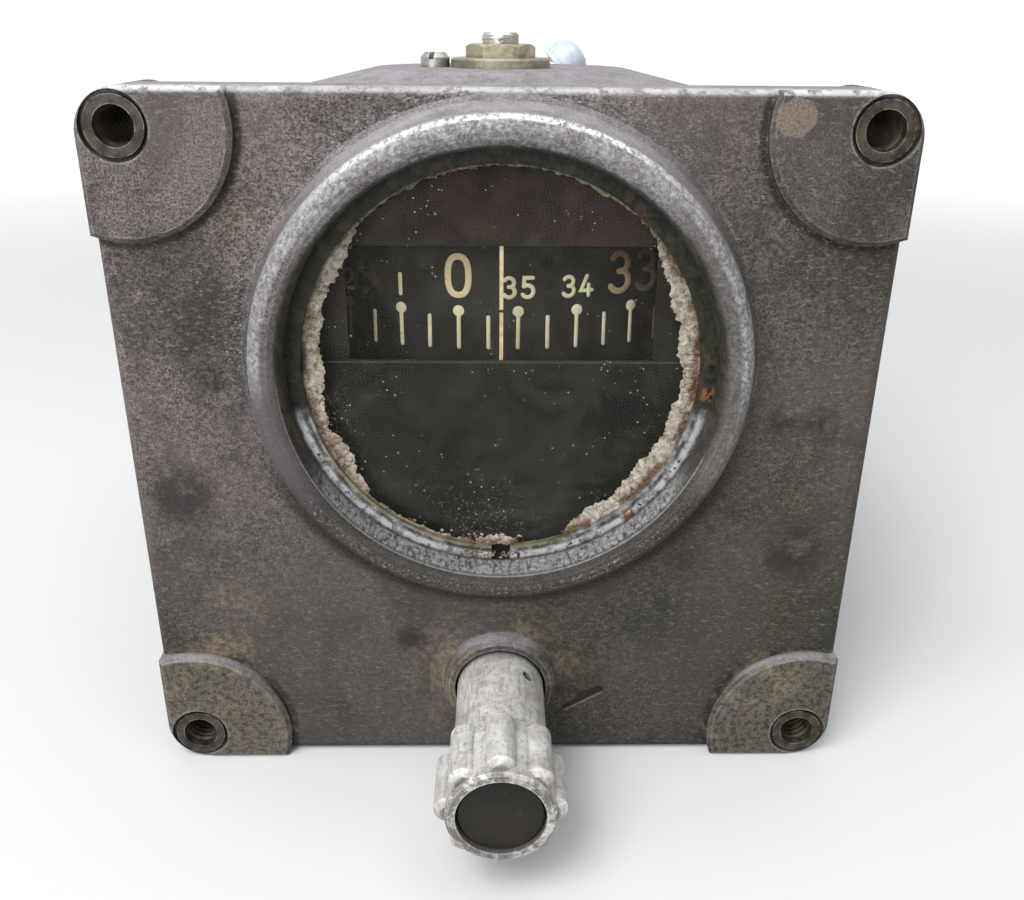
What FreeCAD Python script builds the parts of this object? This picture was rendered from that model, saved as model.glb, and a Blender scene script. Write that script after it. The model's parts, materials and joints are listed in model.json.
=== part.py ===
import FreeCAD, Part
import math
import os

# Directional gyro for an aircraft panel, in millimetres.
# +X is to the right, +Z up, and -Y out of the panel towards the pilot.
# The origin is the centre of the four mounting screws, on the faces of the corner pads.

# Front flange
PLATE_WIDTH = 133.35
PLATE_HEIGHT = 128.6
PLATE_THICK = 10.0
PLATE_CORNER = 7.5
PLATE_EDGE_ROUND = 2.4
SCREW_INSET_X = 6.35
SCREW_INSET_Z = 5.95
PAD_RADIUS = 18.2
PAD_HEIGHT = 2.0
PAD_EDGE_BEVEL = 0.8
INSERT_RADIUS = 4.8
INSERT_BORE = 3.25
INSERT_STEP = 0.7
INSERT_STEP_DEPTH = 1.2

# Window in the flange
WINDOW_BELOW_TOP = 45.5
RING_BASE_RADIUS = 44.6
RING_SHOULDER_RADIUS = 42.45
RING_CREST_ROUND = 3.0
RING_HEIGHT = 8.5
RING_WAIST_OUTSET = 0.9
RING_FLARE_OUTSET = 1.3
RING_WAIST_HEIGHT = 2.4
RING_FLARE_HEIGHT = 0.9
RING_FOOT_DEPTH = 1.0
BEZEL_BORE = 37.0
GLASS_FRONT_DEPTH = 7.8
GLASS_THICK = 3.0
WINDOW_GASKET_THICK = 1.0
WINDOW_GASKET_WIDTH = 3.0
MASK_THICK = 1.0
LEDGE_WIDTH = 2.4
RETAINER_THICK = 1.2
RETAINER_WIDTH = 2.6
RETAINER_GAP = 3.4
GROOVE_DEPTH = 0.9
MASK_SLOT_WIDTH = 53.4
MASK_SLOT_HEIGHT = 20.4
MASK_SLOT_DROP = 0.2
LUBBER_WIDTH = 0.65
LUBBER_THICK = 0.5
LUBBER_OVERLAP = 2.0

# Case behind the flange
WALL = 3.0
CASE_SIDE_INSET = 0.175
CASE_FRONT_DEPTH = 6.5
CARD_CLEARANCE = 2.0
CARD_REAR_CLEARANCE = 1.5
CASE_EDGE_ROUND = 6.0
CORNER_STEP_DEGREES = 22.5
COVER_SCREW_INSET = 9.0
COVER_BOSS_RADIUS = 6.6
COVER_BOSS_LENGTH = 18.0

# Round boss on top of the case, over the upper bearing
CROWN_FLAT_RADIUS = 27.5
CROWN_EDGE_RADIUS = 42.0
CROWN_FOOT_RADIUS = 45.0
CROWN_RISE = 0.3
CROWN_HEIGHT = 8.6
CROWN_EDGE_DROP = 3.4
CROWN_ROOT_DEPTH = 1.0

# Foot under the case, over the lower bearing
FOOT_RADIUS = 24.0
FOOT_HEIGHT = 3.3
FOOT_CAP_RADIUS = 12.0
FOOT_CAP_THICK = 1.4
FOOT_CAP_SLOT = 0.6

# Rear cover
COVER_GASKET_THICK = 0.8
COVER_GASKET_WIDTH = 3.0
COVER_THICK = 3.5
COVER_EDGE_BEVEL = 1.4
FILTER_RADIUS = 22.0
FILTER_RIM = 4.0
FILTER_RIM_HEIGHT = 6.0
FILTER_THICK = 1.2
FILTER_RING_WIDTH = 2.2
FILTER_RING_THICK = 1.4
FILTER_Z = -2.0
AIR_HOLE_RADIUS = 4.2
AIR_HOLE_RING_RADIUS = 13.0
AIR_HOLE_COUNT = 6

# Screws, fits and clearances
SCREW_RADIUS = 2.0
SCREW_HEAD_RADIUS = 3.6
SCREW_HEAD_HEIGHT = 2.4
SCREW_LENGTH = 14.0
SLOT_WIDTH = 1.1
THREAD_CLEARANCE = 0.05
SEAT_CLEARANCE = 0.05
RUNNING_CLEARANCE = 0.05
BODY_CLEARANCE = 0.4

# Ball bearings
BEARING_RADIUS = 8.0
BEARING_WIDTH = 4.5
BEARING_RACE_SHARE = 0.28
BEARING_SHIELD_SINK = 0.4
TRUNNION_RADIUS = 3.0
TILT_BEARING_RADIUS = 4.75
TILT_BEARING_WIDTH = 3.4
TILT_PIN_RADIUS = 2.0
ROTOR_BEARING_RADIUS = 6.5
ROTOR_BEARING_WIDTH = 5.0
ROTOR_BEARING_LIP = 1.5
ROTOR_SHAFT_RADIUS = 3.0

# Upper bearing cover, lock nut and pivot stud
COVER_PLATE_RADIUS = 10.9
COVER_PLATE_THICK = 2.0
COVER_PLATE_BEVEL = 0.4
NUT_ACROSS_CORNERS = 15.3
NUT_HEIGHT = 2.8
NUT_BEVEL_HEIGHT = 0.6
NUT_BEVEL_DEPTH = 1.0
STUD_RADIUS = 4.0
STUD_STANDOUT = 2.3
STUD_SLOT_DEPTH = 1.8
STUD_BEVEL = 0.5
CROWN_SCREW_RING_RADIUS = 14.4
CROWN_SCREW_ANGLES = (180.0, 70.0)
CROWN_SCREW_HEAD_RADIUS = 3.2
CROWN_SCREW_HEAD_HEIGHT = 3.0
CROWN_SCREW_RADIUS = 1.5
CROWN_SCREW_BEVEL = 1.0
CROWN_SCREW_SLOT_DEPTH = 1.4
CROWN_SCREW_SLOT_TURN = -12.0

# Suction port
PORT_X = 12.1
PORT_BEHIND_AXIS = 47.0
PORT_BOSS_RADIUS = 8.0
PORT_BOSS_HEIGHT = 1.5
PORT_BASE_RADIUS = 4.6
PORT_BASE_HEIGHT = 2.3
PORT_TUBE_RADIUS = 4.0
PORT_TUBE_LENGTH = 9.6
PORT_BORE = 2.6
PORT_TILT = 50.0
PORT_CAP_RADIUS = 5.6
PORT_CAP_LENGTH = 7.4
PORT_CAP_START = 4.4
PORT_CAP_BEAD = 0.5
PORT_CAP_BEAD_WIDTH = 1.2
PORT_CAP_GAP = 0.1
PORT_CAP_DOME = 4.4

# Vertical gimbal, azimuth card and synchroniser gear
GIMBAL_BEARING_GAP = 4.7
GIMBAL_GEAR_GAP = 8.7
GIMBAL_RIM = 6.0
GIMBAL_PAD_HEIGHT = 0.4
GIMBAL_TOP_BOSS = 1.5
GIMBAL_BOSS_ROOT = 2.0
GIMBAL_LUG_START = 23.5
GIMBAL_LUG_WIDTH = 11.3
GIMBAL_LUG_DEPTH = 4.0
GIMBAL_THICK = 10.0
GIMBAL_BOSS_RADIUS = 6.0
CARD_WALL = 0.8
CARD_BELOW_SLOT = 3.6
CARD_ABOVE_SLOT = 3.0
CARD_SCREW_RADIUS = 1.0
CARD_SCREW_HEAD_RADIUS = 2.0
CARD_SCREW_HEAD_HEIGHT = 1.2
SPIDER_THICK = 1.2
SPIDER_HOLE_COUNT = 8
SPIDER_HOLE_RADIUS = 8.0
SPIDER_HOLE_OUTSET = 2.0
SPIDER_CLEARANCE = 0.9
GEAR_TEETH = 96
GEAR_INSIDE_CARD = 25.5
GEAR_FACE_WIDTH = 5.0
GEAR_TOOTH_DEPTH = 1.7
GEAR_THICK = 4.0
GEAR_HUB_RADIUS = 7.0
GEAR_SPOKES = 4
GEAR_SPOKE_WIDTH = 6.0
GEAR_SPOKE_THICK = 1.8
PRESS_CLEARANCE = 0.02
NOZZLE_RADIUS = 2.0
NOZZLE_BORE = 0.8
NOZZLE_ANGLE = 14.0
NOZZLE_STANDOUT = 2.6
NOZZLE_HEAD = 1.0
PIVOT_BODY_RADIUS = 3.0
PIVOT_HEAD_RADIUS = 4.0
PIVOT_HEAD_HEIGHT = 2.0
PIVOT_SHOULDER_GAP = 1.0

# Rotor and its case, the inner gimbal
ROTOR_GAP = 2.3
ROTOR_WIDTH = 22.0
ROTOR_RIM = 7.0
ROTOR_WEB_SINK = 4.0
ROTOR_WEB_SLOPE = 1.0
ROTOR_HUB_RADIUS = 8.0
BUCKET_COUNT = 24
BUCKET_DEPTH = 2.4
BUCKET_WIDTH = 9.0
BUCKET_TILT = 40.0
ROTOR_CASE_INSET = 6.1
ROTOR_CASE_WALL = 2.2
ROTOR_CASE_HALF_LENGTH = 18.0
ROTOR_CASE_HUB_RADIUS = 9.0
ROTOR_CASE_HUB_HEIGHT = 3.4
TILT_BOSS_RADIUS = 7.0
TILT_BOSS_GAP = 4.4
JET_SLOT_LENGTH = 15.0
JET_SLOT_SPAN = 26.0
WEIGHT_RADIUS = 4.2
WEIGHT_THICK = 3.0
WEIGHT_OFFSET = 20.0

# Caging knob, shaft, pinion, shift frame and yoke
KNOB_RISE = 18.3
KNOB_STANDOUT = 38.5
KNOB_TRAVEL = 8.0
KNOB_STEM_RADIUS = 8.35
KNOB_END_RADIUS = 9.3
KNOB_GRIP_LENGTH = 15.0
KNOB_LOBES = 8
KNOB_LOBE_RADIUS = 2.5
KNOB_GRIP_RADIUS = 11.2
KNOB_RECESS_RADIUS = 7.6
KNOB_RECESS_DEPTH = 3.0
KNOB_WEB = 3.0
KNOB_END_BEVEL = 0.5
KNOB_STEM_BEVEL = 0.4
KNOB_NECK_START = 4.0
KNOB_NECK_END = 1.5
KNOB_RIB_START = 1.2
KNOB_RIB_END = 1.0
KNOB_RIB_BEVEL = 1.0
KNOB_INSERT_SINK = 0.8
KNOB_BOSS_RADIUS = 10.8
KNOB_BOSS_HEIGHT = 4.0
KNOB_BOSS_FLARE = 3.0
KNOB_BOSS_BEVEL = 0.8
KNOB_BOSS_DRAFT = 0.4
KNOB_FLARE_HEIGHT = 1.3
KNOB_BOSS_CLEARANCE = 0.5
KNOB_STEM_ENTRY = 1.5
SET_SCREW_RADIUS = 1.2
SET_SCREW_ANGLE = 52.0
SET_SCREW_Y = -7.0
SET_SCREW_SINK = 0.9
SHAFT_RADIUS = 3.175
BUSH_RADIUS = 5.0
BUSH_FLANGE_RADIUS = 6.5
BUSH_FLANGE_THICK = 1.2
BUSH_BOSS_RADIUS = 8.6
BUSH_BOSS_LENGTH = 8.5
SHAFT_SHOULDER_RADIUS = 4.5
SHAFT_SHOULDER_THICK = 1.5
PINION_TEETH = 12
PINION_RADIUS = 5.3
PINION_ROOT = 3.9
PINION_LENGTH = 5.0
# One tooth as shares of the pitch and the radius at each
PINION_TOOTH = (
    (0.0, PINION_ROOT),
    (0.22, PINION_ROOT),
    (0.38, PINION_RADIUS),
    (0.62, PINION_RADIUS),
    (0.78, PINION_ROOT),
)
SHIFT_PLATE_THICK = 3.0
SHIFT_RAIL_X = 9.6
SHIFT_RAIL_THICK = 2.0
SHIFT_RAIL_END = 1.2
SHIFT_RAIL_HEAD = 3.0
SHIFT_EYE_WALL = 1.5
YOKE_PIN_CLEARANCE = 0.3
YOKE_LIFT = 4.0
YOKE_PIN_RADIUS = 1.2
YOKE_GEAR_GAP = 5.0
YOKE_WIDTH = 4.0
YOKE_THICK = 2.8
YOKE_ARM_GAP = 0.6
YOKE_ARM_WIDTH = 3.0
YOKE_ARM_NOSE = 2.5
YOKE_FLOOR_GAP = 1.6
POST_RADIUS = 1.5
POST_HEIGHT = 12.0
POST_OUTSET = 8.0
POST_EAR_WALL = 2.0
POST_NECK_WALL = 1.6
POST_ANGLES = (90.0, 205.0, 335.0)

# Places worked out from the sizes above
HALF_HEIGHT = PLATE_HEIGHT / 2
SCREW_PITCH_X = PLATE_WIDTH - 2 * SCREW_INSET_X
SCREW_PITCH_Z = PLATE_HEIGHT - 2 * SCREW_INSET_Z
PLATE_FRONT = PAD_HEIGHT
PLATE_BACK = PLATE_FRONT + PLATE_THICK
RING_CREST_Y = PLATE_FRONT - RING_HEIGHT
GLASS_FRONT = RING_CREST_Y + GLASS_FRONT_DEPTH
GLASS_BACK = GLASS_FRONT + GLASS_THICK
MASK_FRONT = GLASS_BACK + WINDOW_GASKET_THICK
LEDGE_FRONT = MASK_FRONT + MASK_THICK
WINDOW_Z = HALF_HEIGHT - WINDOW_BELOW_TOP
MASK_SLOT_BOTTOM = WINDOW_Z - MASK_SLOT_DROP
MASK_SLOT_TOP = MASK_SLOT_BOTTOM + MASK_SLOT_HEIGHT
CARD_BOTTOM = MASK_SLOT_BOTTOM - CARD_BELOW_SLOT
CARD_TOP = MASK_SLOT_TOP + CARD_ABOVE_SLOT
CASE_HALF_WIDTH = PLATE_WIDTH / 2 - CASE_SIDE_INSET
CAVITY_RADIUS = CASE_HALF_WIDTH - WALL
CARD_RADIUS = CAVITY_RADIUS - CARD_CLEARANCE
AXIS_Y = CASE_FRONT_DEPTH + CASE_HALF_WIDTH
CASE_REAR = AXIS_Y + CARD_RADIUS + CARD_REAR_CLEARANCE
FOOT_BOTTOM = -HALF_HEIGHT
CASE_BOTTOM = FOOT_BOTTOM + FOOT_HEIGHT
CROWN_TOP = HALF_HEIGHT + CROWN_RISE
CASE_TOP = CROWN_TOP - CROWN_HEIGHT
CAVITY_TOP = CASE_TOP - WALL
CAVITY_BOTTOM = CASE_BOTTOM + WALL
CROWN_CEILING = CROWN_TOP - WALL
COVER_SCREW_X = CASE_HALF_WIDTH - COVER_SCREW_INSET
COVER_SCREW_ZS = (
    CASE_BOTTOM + COVER_SCREW_INSET + 1.0,
    (CASE_TOP + CASE_BOTTOM) / 2,
    CASE_TOP - COVER_SCREW_INSET - 1.0,
)
COVER_FRONT = CASE_REAR + COVER_GASKET_THICK
COVER_BACK = COVER_FRONT + COVER_THICK
UPPER_BEARING_TOP = CROWN_CEILING - 1.4
LOWER_BEARING_BOTTOM = FOOT_BOTTOM + FOOT_CAP_THICK
PORT_Y = AXIS_Y + PORT_BEHIND_AXIS
KNOB_Z = FOOT_BOTTOM + KNOB_RISE
GEAR_PITCH_RADIUS = CARD_RADIUS - GEAR_INSIDE_CARD
KNOB_END = PLATE_FRONT - KNOB_STANDOUT
KNOB_STEM_BACK = PLATE_FRONT - KNOB_BOSS_HEIGHT + KNOB_STEM_ENTRY
BUSH_FRONT = KNOB_STEM_BACK + KNOB_TRAVEL + BODY_CLEARANCE
BUSH_BACK = BUSH_FRONT + BUSH_BOSS_LENGTH
SHOULDER_FRONT = BUSH_BACK + BUSH_FLANGE_THICK + BODY_CLEARANCE
SHIFT_FRONT = SHOULDER_FRONT + SHAFT_SHOULDER_THICK + BODY_CLEARANCE
SHIFT_BACK = SHIFT_FRONT + SHIFT_PLATE_THICK
PINION_FRONT = SHIFT_BACK + BODY_CLEARANCE
PINION_BACK = AXIS_Y - GEAR_PITCH_RADIUS - KNOB_TRAVEL + PINION_LENGTH / 2
GEAR_TOP = KNOB_Z - PINION_RADIUS - BODY_CLEARANCE
GEAR_BOTTOM = GEAR_TOP - GEAR_THICK
YOKE_BOTTOM = CAVITY_BOTTOM + YOKE_FLOOR_GAP
YOKE_TOP = YOKE_BOTTOM + YOKE_THICK
YOKE_PIN_Z = (YOKE_BOTTOM + YOKE_TOP) / 2
YOKE_PIN_Y = SHIFT_BACK
YOKE_ARM_X = SHIFT_RAIL_X + SHIFT_RAIL_THICK + YOKE_ARM_GAP
YOKE_INNER = GEAR_PITCH_RADIUS + YOKE_GEAR_GAP
POST_RING_RADIUS = YOKE_INNER + POST_OUTSET
GIMBAL_TOP = UPPER_BEARING_TOP - BEARING_WIDTH - GIMBAL_BEARING_GAP
GIMBAL_BOTTOM = GEAR_TOP + GIMBAL_GEAR_GAP
GIMBAL_RADIUS = (GIMBAL_TOP - GIMBAL_BOTTOM) / 2
GIMBAL_Z = (GIMBAL_TOP + GIMBAL_BOTTOM) / 2
TILT_BOSS_END = GIMBAL_RADIUS - GIMBAL_RIM - TILT_BOSS_GAP
ROTOR_CASE_RADIUS = TILT_BOSS_END - ROTOR_CASE_INSET
ROTOR_RADIUS = ROTOR_CASE_RADIUS - ROTOR_CASE_WALL - ROTOR_GAP

X_AXIS = FreeCAD.Vector(1, 0, 0)
Y_AXIS = FreeCAD.Vector(0, 1, 0)
Z_AXIS = FreeCAD.Vector(0, 0, 1)


def point(x, y, z):
    return FreeCAD.Vector(x, y, z)


def rod_x(radius, start, end, y, z):
    return Part.makeCylinder(radius, end - start, point(start, y, z), X_AXIS)


def rod_y(radius, start, end, x, z):
    return Part.makeCylinder(radius, end - start, point(x, start, z), Y_AXIS)


def rod_z(radius, start, end, x, y):
    return Part.makeCylinder(radius, end - start, point(x, y, start), Z_AXIS)


def box(x_range, y_range, z_range):
    size = [high - low for low, high in (x_range, y_range, z_range)]
    return Part.makeBox(*size, point(x_range[0], y_range[0], z_range[0]))


def polar(radius, degrees):
    angle = math.radians(degrees)
    return radius * math.cos(angle), radius * math.sin(angle)


def face_of(points):
    return Part.Face(Part.makePolygon([*points, points[0]]))


def turned_y(profile, z):
    """A solid of revolution about the Y axis at height z, from (radius, y) points."""
    face = face_of([point(r, y, z) for r, y in profile])
    return face.revolve(point(0, 0, z), Y_AXIS, 360)


def turned_z(profile):
    """A solid of revolution about the gimbal's vertical axis, from (radius, z) points."""
    face = face_of([point(r, AXIS_Y, z) for r, z in profile])
    return face.revolve(point(0, AXIS_Y, 0), Z_AXIS, 360)


def rounded_slab(half_width, bottom, top, corner, front, back):
    """A plate across the Y axis with rounded corners."""
    slab = box((-half_width, half_width), (front, back), (bottom, top))
    corners = [e for e in slab.Edges if abs(e.Vertexes[0].Y - e.Vertexes[1].Y) > 0.1]
    return slab.makeFillet(corner, corners)


def round_edges_at(solid, radius, test):
    """The solid with every edge rounded whose ends all pass the test."""
    edges = [e for e in solid.Edges if all(test(v.Point) for v in e.Vertexes)]
    return solid.makeFillet(radius, edges)


def bevel_edges_at(solid, size, test):
    """The solid with every edge bevelled whose ends all pass the test."""
    edges = [e for e in solid.Edges if all(test(v.Point) for v in e.Vertexes)]
    return solid.makeChamfer(size, edges)


def mount_points():
    half_x = SCREW_PITCH_X / 2
    half_z = SCREW_PITCH_Z / 2
    return [(sx * half_x, sz * half_z) for sz in (1, -1) for sx in (-1, 1)]


def cover_screw_points():
    return [(sx * COVER_SCREW_X, z) for z in COVER_SCREW_ZS for sx in (-1, 1)]


def flange():
    half = PLATE_WIDTH / 2
    low = -PLATE_HEIGHT / 2
    plate = rounded_slab(half, low, -low, PLATE_CORNER, PLATE_FRONT, PLATE_BACK)
    plate = round_edges_at(plate, PLATE_EDGE_ROUND, lambda p: abs(p.y - PLATE_FRONT) < 0.01)
    outline = rounded_slab(half, low, -low, PLATE_CORNER, 0, PLATE_BACK)
    for x, z in mount_points():
        pad = rod_y(PAD_RADIUS, 0, PLATE_BACK, x, z).common(outline)
        pad = bevel_edges_at(pad, PAD_EDGE_BEVEL, lambda p: abs(p.y) < 0.01)
        plate = plate.fuse(pad)
    return plate


def arc_steps(centre, radii, start, end):
    """Points along an elliptical arc, one for each step of the corner angle."""
    count = round(abs(end - start) / CORNER_STEP_DEGREES)
    angles = [math.radians(start + (end - start) * i / count) for i in range(count + 1)]
    return [(centre[0] + radii[0] * math.cos(a), centre[1] + radii[1] * math.sin(a)) for a in angles]


def window_ring():
    """The raised ring round the window, with a rounded crest and a flared foot."""
    foot = PLATE_FRONT + RING_FOOT_DEPTH
    centre = ((BEZEL_BORE + RING_SHOULDER_RADIUS) / 2, RING_CREST_Y + RING_CREST_ROUND)
    half_width = (RING_SHOULDER_RADIUS - BEZEL_BORE) / 2
    crest = arc_steps(centre, (half_width, RING_CREST_ROUND), -180, 0)
    return turned_y([
        (BEZEL_BORE, foot),
        *crest,
        (RING_SHOULDER_RADIUS + RING_WAIST_OUTSET, PLATE_FRONT - RING_WAIST_HEIGHT),
        (RING_SHOULDER_RADIUS + RING_FLARE_OUTSET, PLATE_FRONT - RING_FLARE_HEIGHT),
        (RING_BASE_RADIUS, PLATE_FRONT),
        (RING_BASE_RADIUS, foot),
    ], WINDOW_Z)


def plan_solid(radius, rear, bottom, top, corner):
    """A vertical half cylinder about the gimbal axis, with flat sides run back to the rear."""
    low = arc_steps((radius - corner, bottom + corner), (corner, corner), -90, 0)
    high = arc_steps((radius - corner, top - corner), (corner, corner), 0, 90)
    profile = [(0, bottom), *low, *high, (0, top)]
    right = [point(r, AXIS_Y, z) for r, z in profile]
    left = [point(-r, AXIS_Y, z) for r, z in reversed(profile[1:-1])]
    front = face_of(right).revolve(point(0, AXIS_Y, 0), Z_AXIS, -180)
    back = face_of(right[1:-1] + left).extrude(point(0, rear - AXIS_Y, 0))
    return front.fuse(back).removeSplitter()


def crown(outset):
    """The low round boss over the upper bearing, or the space under it."""
    top = CROWN_TOP - outset
    return turned_z([
        (0, CAVITY_TOP - CROWN_ROOT_DEPTH),
        (CROWN_FOOT_RADIUS - outset, CAVITY_TOP - CROWN_ROOT_DEPTH),
        (CROWN_EDGE_RADIUS - outset, top - CROWN_EDGE_DROP),
        (CROWN_FLAT_RADIUS - outset, top),
        (0, top),
    ])


def knob_boss():
    top = PLATE_FRONT - KNOB_BOSS_HEIGHT
    return turned_y([
        (0, top),
        (KNOB_BOSS_RADIUS - KNOB_BOSS_BEVEL, top),
        (KNOB_BOSS_RADIUS, top + KNOB_BOSS_BEVEL),
        (KNOB_BOSS_RADIUS + KNOB_BOSS_DRAFT, PLATE_FRONT - KNOB_FLARE_HEIGHT),
        (KNOB_BOSS_RADIUS + KNOB_BOSS_FLARE, PLATE_FRONT),
        (KNOB_BOSS_RADIUS + KNOB_BOSS_FLARE, PLATE_BACK),
        (0, PLATE_BACK),
    ], KNOB_Z)


def bearing_hub():
    """The hub that hangs from the crown and holds the upper bearing."""
    hub_radius = BEARING_RADIUS + WALL
    return rod_z(hub_radius, UPPER_BEARING_TOP - BEARING_WIDTH - 1.0, CROWN_CEILING + 1.0, 0, AXIS_Y)


def case_bores():
    """Everything that is bored or cut from the casting."""
    half_ledge = BEZEL_BORE - LEDGE_WIDTH
    groove_back = GLASS_FRONT
    groove_front = GLASS_FRONT - RETAINER_THICK - 0.1
    tunnel_end = AXIS_Y - CAVITY_RADIUS * 0.8
    cuts = [
        rod_y(BEZEL_BORE, RING_CREST_Y - 5, LEDGE_FRONT, 0, WINDOW_Z),
        rod_y(BEZEL_BORE + GROOVE_DEPTH, groove_front, groove_back, 0, WINDOW_Z),
        rod_y(half_ledge, LEDGE_FRONT - 1, tunnel_end, 0, WINDOW_Z),
        rod_y(KNOB_STEM_RADIUS + KNOB_BOSS_CLEARANCE, PLATE_FRONT - 9, BUSH_FRONT, 0, KNOB_Z),
        rod_y(BUSH_RADIUS + SEAT_CLEARANCE, BUSH_FRONT - 1, BUSH_BACK + 1, 0, KNOB_Z),
        rod_z(BEARING_RADIUS + SEAT_CLEARANCE, CAVITY_TOP - 9, UPPER_BEARING_TOP, 0, AXIS_Y),
        rod_z(STUD_RADIUS + THREAD_CLEARANCE, CAVITY_TOP, CROWN_TOP + 1, 0, AXIS_Y),
        rod_z(BEARING_RADIUS + SEAT_CLEARANCE, FOOT_BOTTOM, CAVITY_BOTTOM + 1, 0, AXIS_Y),
        rod_z(FOOT_CAP_RADIUS + SEAT_CLEARANCE, FOOT_BOTTOM - 1, LOWER_BEARING_BOTTOM, 0, AXIS_Y),
        rod_z(PORT_TUBE_RADIUS, CAVITY_TOP - 1, CASE_TOP + PORT_BOSS_HEIGHT + 1, PORT_X, PORT_Y),
    ]
    for x, z in mount_points():
        cuts.append(rod_y(INSERT_RADIUS + SEAT_CLEARANCE, -1, PLATE_BACK + 1, x, z))
        cuts.append(rod_y(INSERT_RADIUS + INSERT_STEP, -1, INSERT_STEP_DEPTH, x, z))
    for x, z in cover_screw_points():
        depth = SCREW_LENGTH + 1.0
        cuts.append(rod_y(SCREW_RADIUS + THREAD_CLEARANCE, CASE_REAR - depth, CASE_REAR + 1, x, z))
    for angle in CROWN_SCREW_ANGLES:
        x, y = polar(CROWN_SCREW_RING_RADIUS, angle)
        bore = CROWN_SCREW_RADIUS + THREAD_CLEARANCE
        cuts.append(rod_z(bore, CROWN_CEILING - 1, CROWN_TOP + 1, x, AXIS_Y + y))
    return cuts


def main_case():
    body = plan_solid(CASE_HALF_WIDTH, CASE_REAR, CASE_BOTTOM, CASE_TOP, CASE_EDGE_ROUND)
    tunnel = rod_y(BEZEL_BORE + WALL, PLATE_FRONT, AXIS_Y / 2, 0, WINDOW_Z)
    tunnel = tunnel.common(box((-60, 60), (0, AXIS_Y), (CASE_BOTTOM, CASE_TOP)))
    foot = rod_z(FOOT_RADIUS, FOOT_BOTTOM, CAVITY_BOTTOM, 0, AXIS_Y)
    port_boss = rod_z(PORT_BOSS_RADIUS, CAVITY_TOP, CASE_TOP + PORT_BOSS_HEIGHT, PORT_X, PORT_Y)
    outside = body.multiFuse([flange(), tunnel, crown(0), foot, port_boss, knob_boss(), window_ring()])
    cavity = plan_solid(CAVITY_RADIUS, CASE_REAR + 10, CAVITY_BOTTOM, CAVITY_TOP, WALL)
    keep = [rod_y(BUSH_BOSS_RADIUS, AXIS_Y - CASE_HALF_WIDTH, BUSH_BACK, 0, KNOB_Z), bearing_hub()]
    for x, z in cover_screw_points():
        keep.append(rod_y(COVER_BOSS_RADIUS, CASE_REAR - COVER_BOSS_LENGTH, CASE_REAR, x, z))
    hollow = cavity.fuse(crown(WALL))
    hollow = hollow.cut(Part.makeCompound(keep))
    casting = outside.cut(hollow)
    return casting.cut(Part.makeCompound(case_bores()))


def mounting_inserts():
    group = []
    for x, z in mount_points():
        bush = rod_y(INSERT_RADIUS, 0.4, PLATE_BACK, x, z)
        group.append(bush.cut(rod_y(INSERT_BORE, 0, PLATE_BACK + 1, x, z)))
    return Part.makeCompound(group)


def ring_y(outer, inner, front, back, z):
    return rod_y(outer, front, back, 0, z).cut(rod_y(inner, front - 1, back + 1, 0, z))


def window_glass():
    return rod_y(BEZEL_BORE - SEAT_CLEARANCE, GLASS_FRONT, GLASS_BACK, 0, WINDOW_Z)


def window_gasket():
    outer = BEZEL_BORE - SEAT_CLEARANCE
    return ring_y(outer, outer - WINDOW_GASKET_WIDTH, GLASS_BACK, MASK_FRONT, WINDOW_Z)


def window_mask():
    disc = rod_y(BEZEL_BORE - SEAT_CLEARANCE, MASK_FRONT, LEDGE_FRONT, 0, WINDOW_Z)
    half = MASK_SLOT_WIDTH / 2
    heights = (MASK_SLOT_BOTTOM, MASK_SLOT_TOP)
    return disc.cut(box((-half, half), (MASK_FRONT - 1, LEDGE_FRONT + 1), heights))


def lubber_line():
    half = LUBBER_WIDTH / 2
    low = MASK_SLOT_BOTTOM - LUBBER_OVERLAP
    high = MASK_SLOT_TOP + LUBBER_OVERLAP
    return box((-half, half), (LEDGE_FRONT, LEDGE_FRONT + LUBBER_THICK), (low, high))


def retaining_ring():
    """A split spring ring in its groove in front of the glass, with a gap at the bottom."""
    outer = BEZEL_BORE + GROOVE_DEPTH - 0.1
    front = GLASS_FRONT - RETAINER_THICK
    ring = ring_y(outer, outer - GROOVE_DEPTH - RETAINER_WIDTH, front, GLASS_FRONT, WINDOW_Z)
    half = RETAINER_GAP / 2
    bottom = WINDOW_Z - outer - 1
    return ring.cut(box((-half, half), (front - 1, GLASS_FRONT + 1), (bottom, WINDOW_Z)))


def slotted_screw_y(x, z, seat, tip):
    """A pan head screw that points to the front, with its head behind the seat."""
    shank = rod_y(SCREW_RADIUS, tip, seat + 1, x, z)
    head = rod_y(SCREW_HEAD_RADIUS, seat, seat + SCREW_HEAD_HEIGHT, x, z)
    head = bevel_edges_at(head, 0.7, lambda p: p.y > seat + 0.1)
    slot_bottom = seat + SCREW_HEAD_HEIGHT - 1.1
    reach = SCREW_HEAD_RADIUS + 1
    slot = box((x - reach, x + reach), (slot_bottom, seat + 9), (z - SLOT_WIDTH / 2, z + SLOT_WIDTH / 2))
    return head.cut(slot).fuse(shank)


def cover_outline(front, back, inset):
    half = CASE_HALF_WIDTH - inset
    corner = CASE_EDGE_ROUND - inset
    return rounded_slab(half, CASE_BOTTOM + inset, CASE_TOP - inset, corner, front, back)


def cover_gasket():
    sheet = cover_outline(CASE_REAR, COVER_FRONT, 0)
    hole = cover_outline(CASE_REAR - 1, COVER_FRONT + 1, COVER_GASKET_WIDTH)
    for x, z in cover_screw_points():
        hole = hole.cut(rod_y(COVER_BOSS_RADIUS, CASE_REAR - 2, COVER_FRONT + 2, x, z))
    sheet = sheet.cut(hole)
    bore = SCREW_RADIUS + 4 * THREAD_CLEARANCE
    holes = [rod_y(bore, CASE_REAR - 1, COVER_FRONT + 1, x, z) for x, z in cover_screw_points()]
    return sheet.cut(Part.makeCompound(holes))


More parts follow.
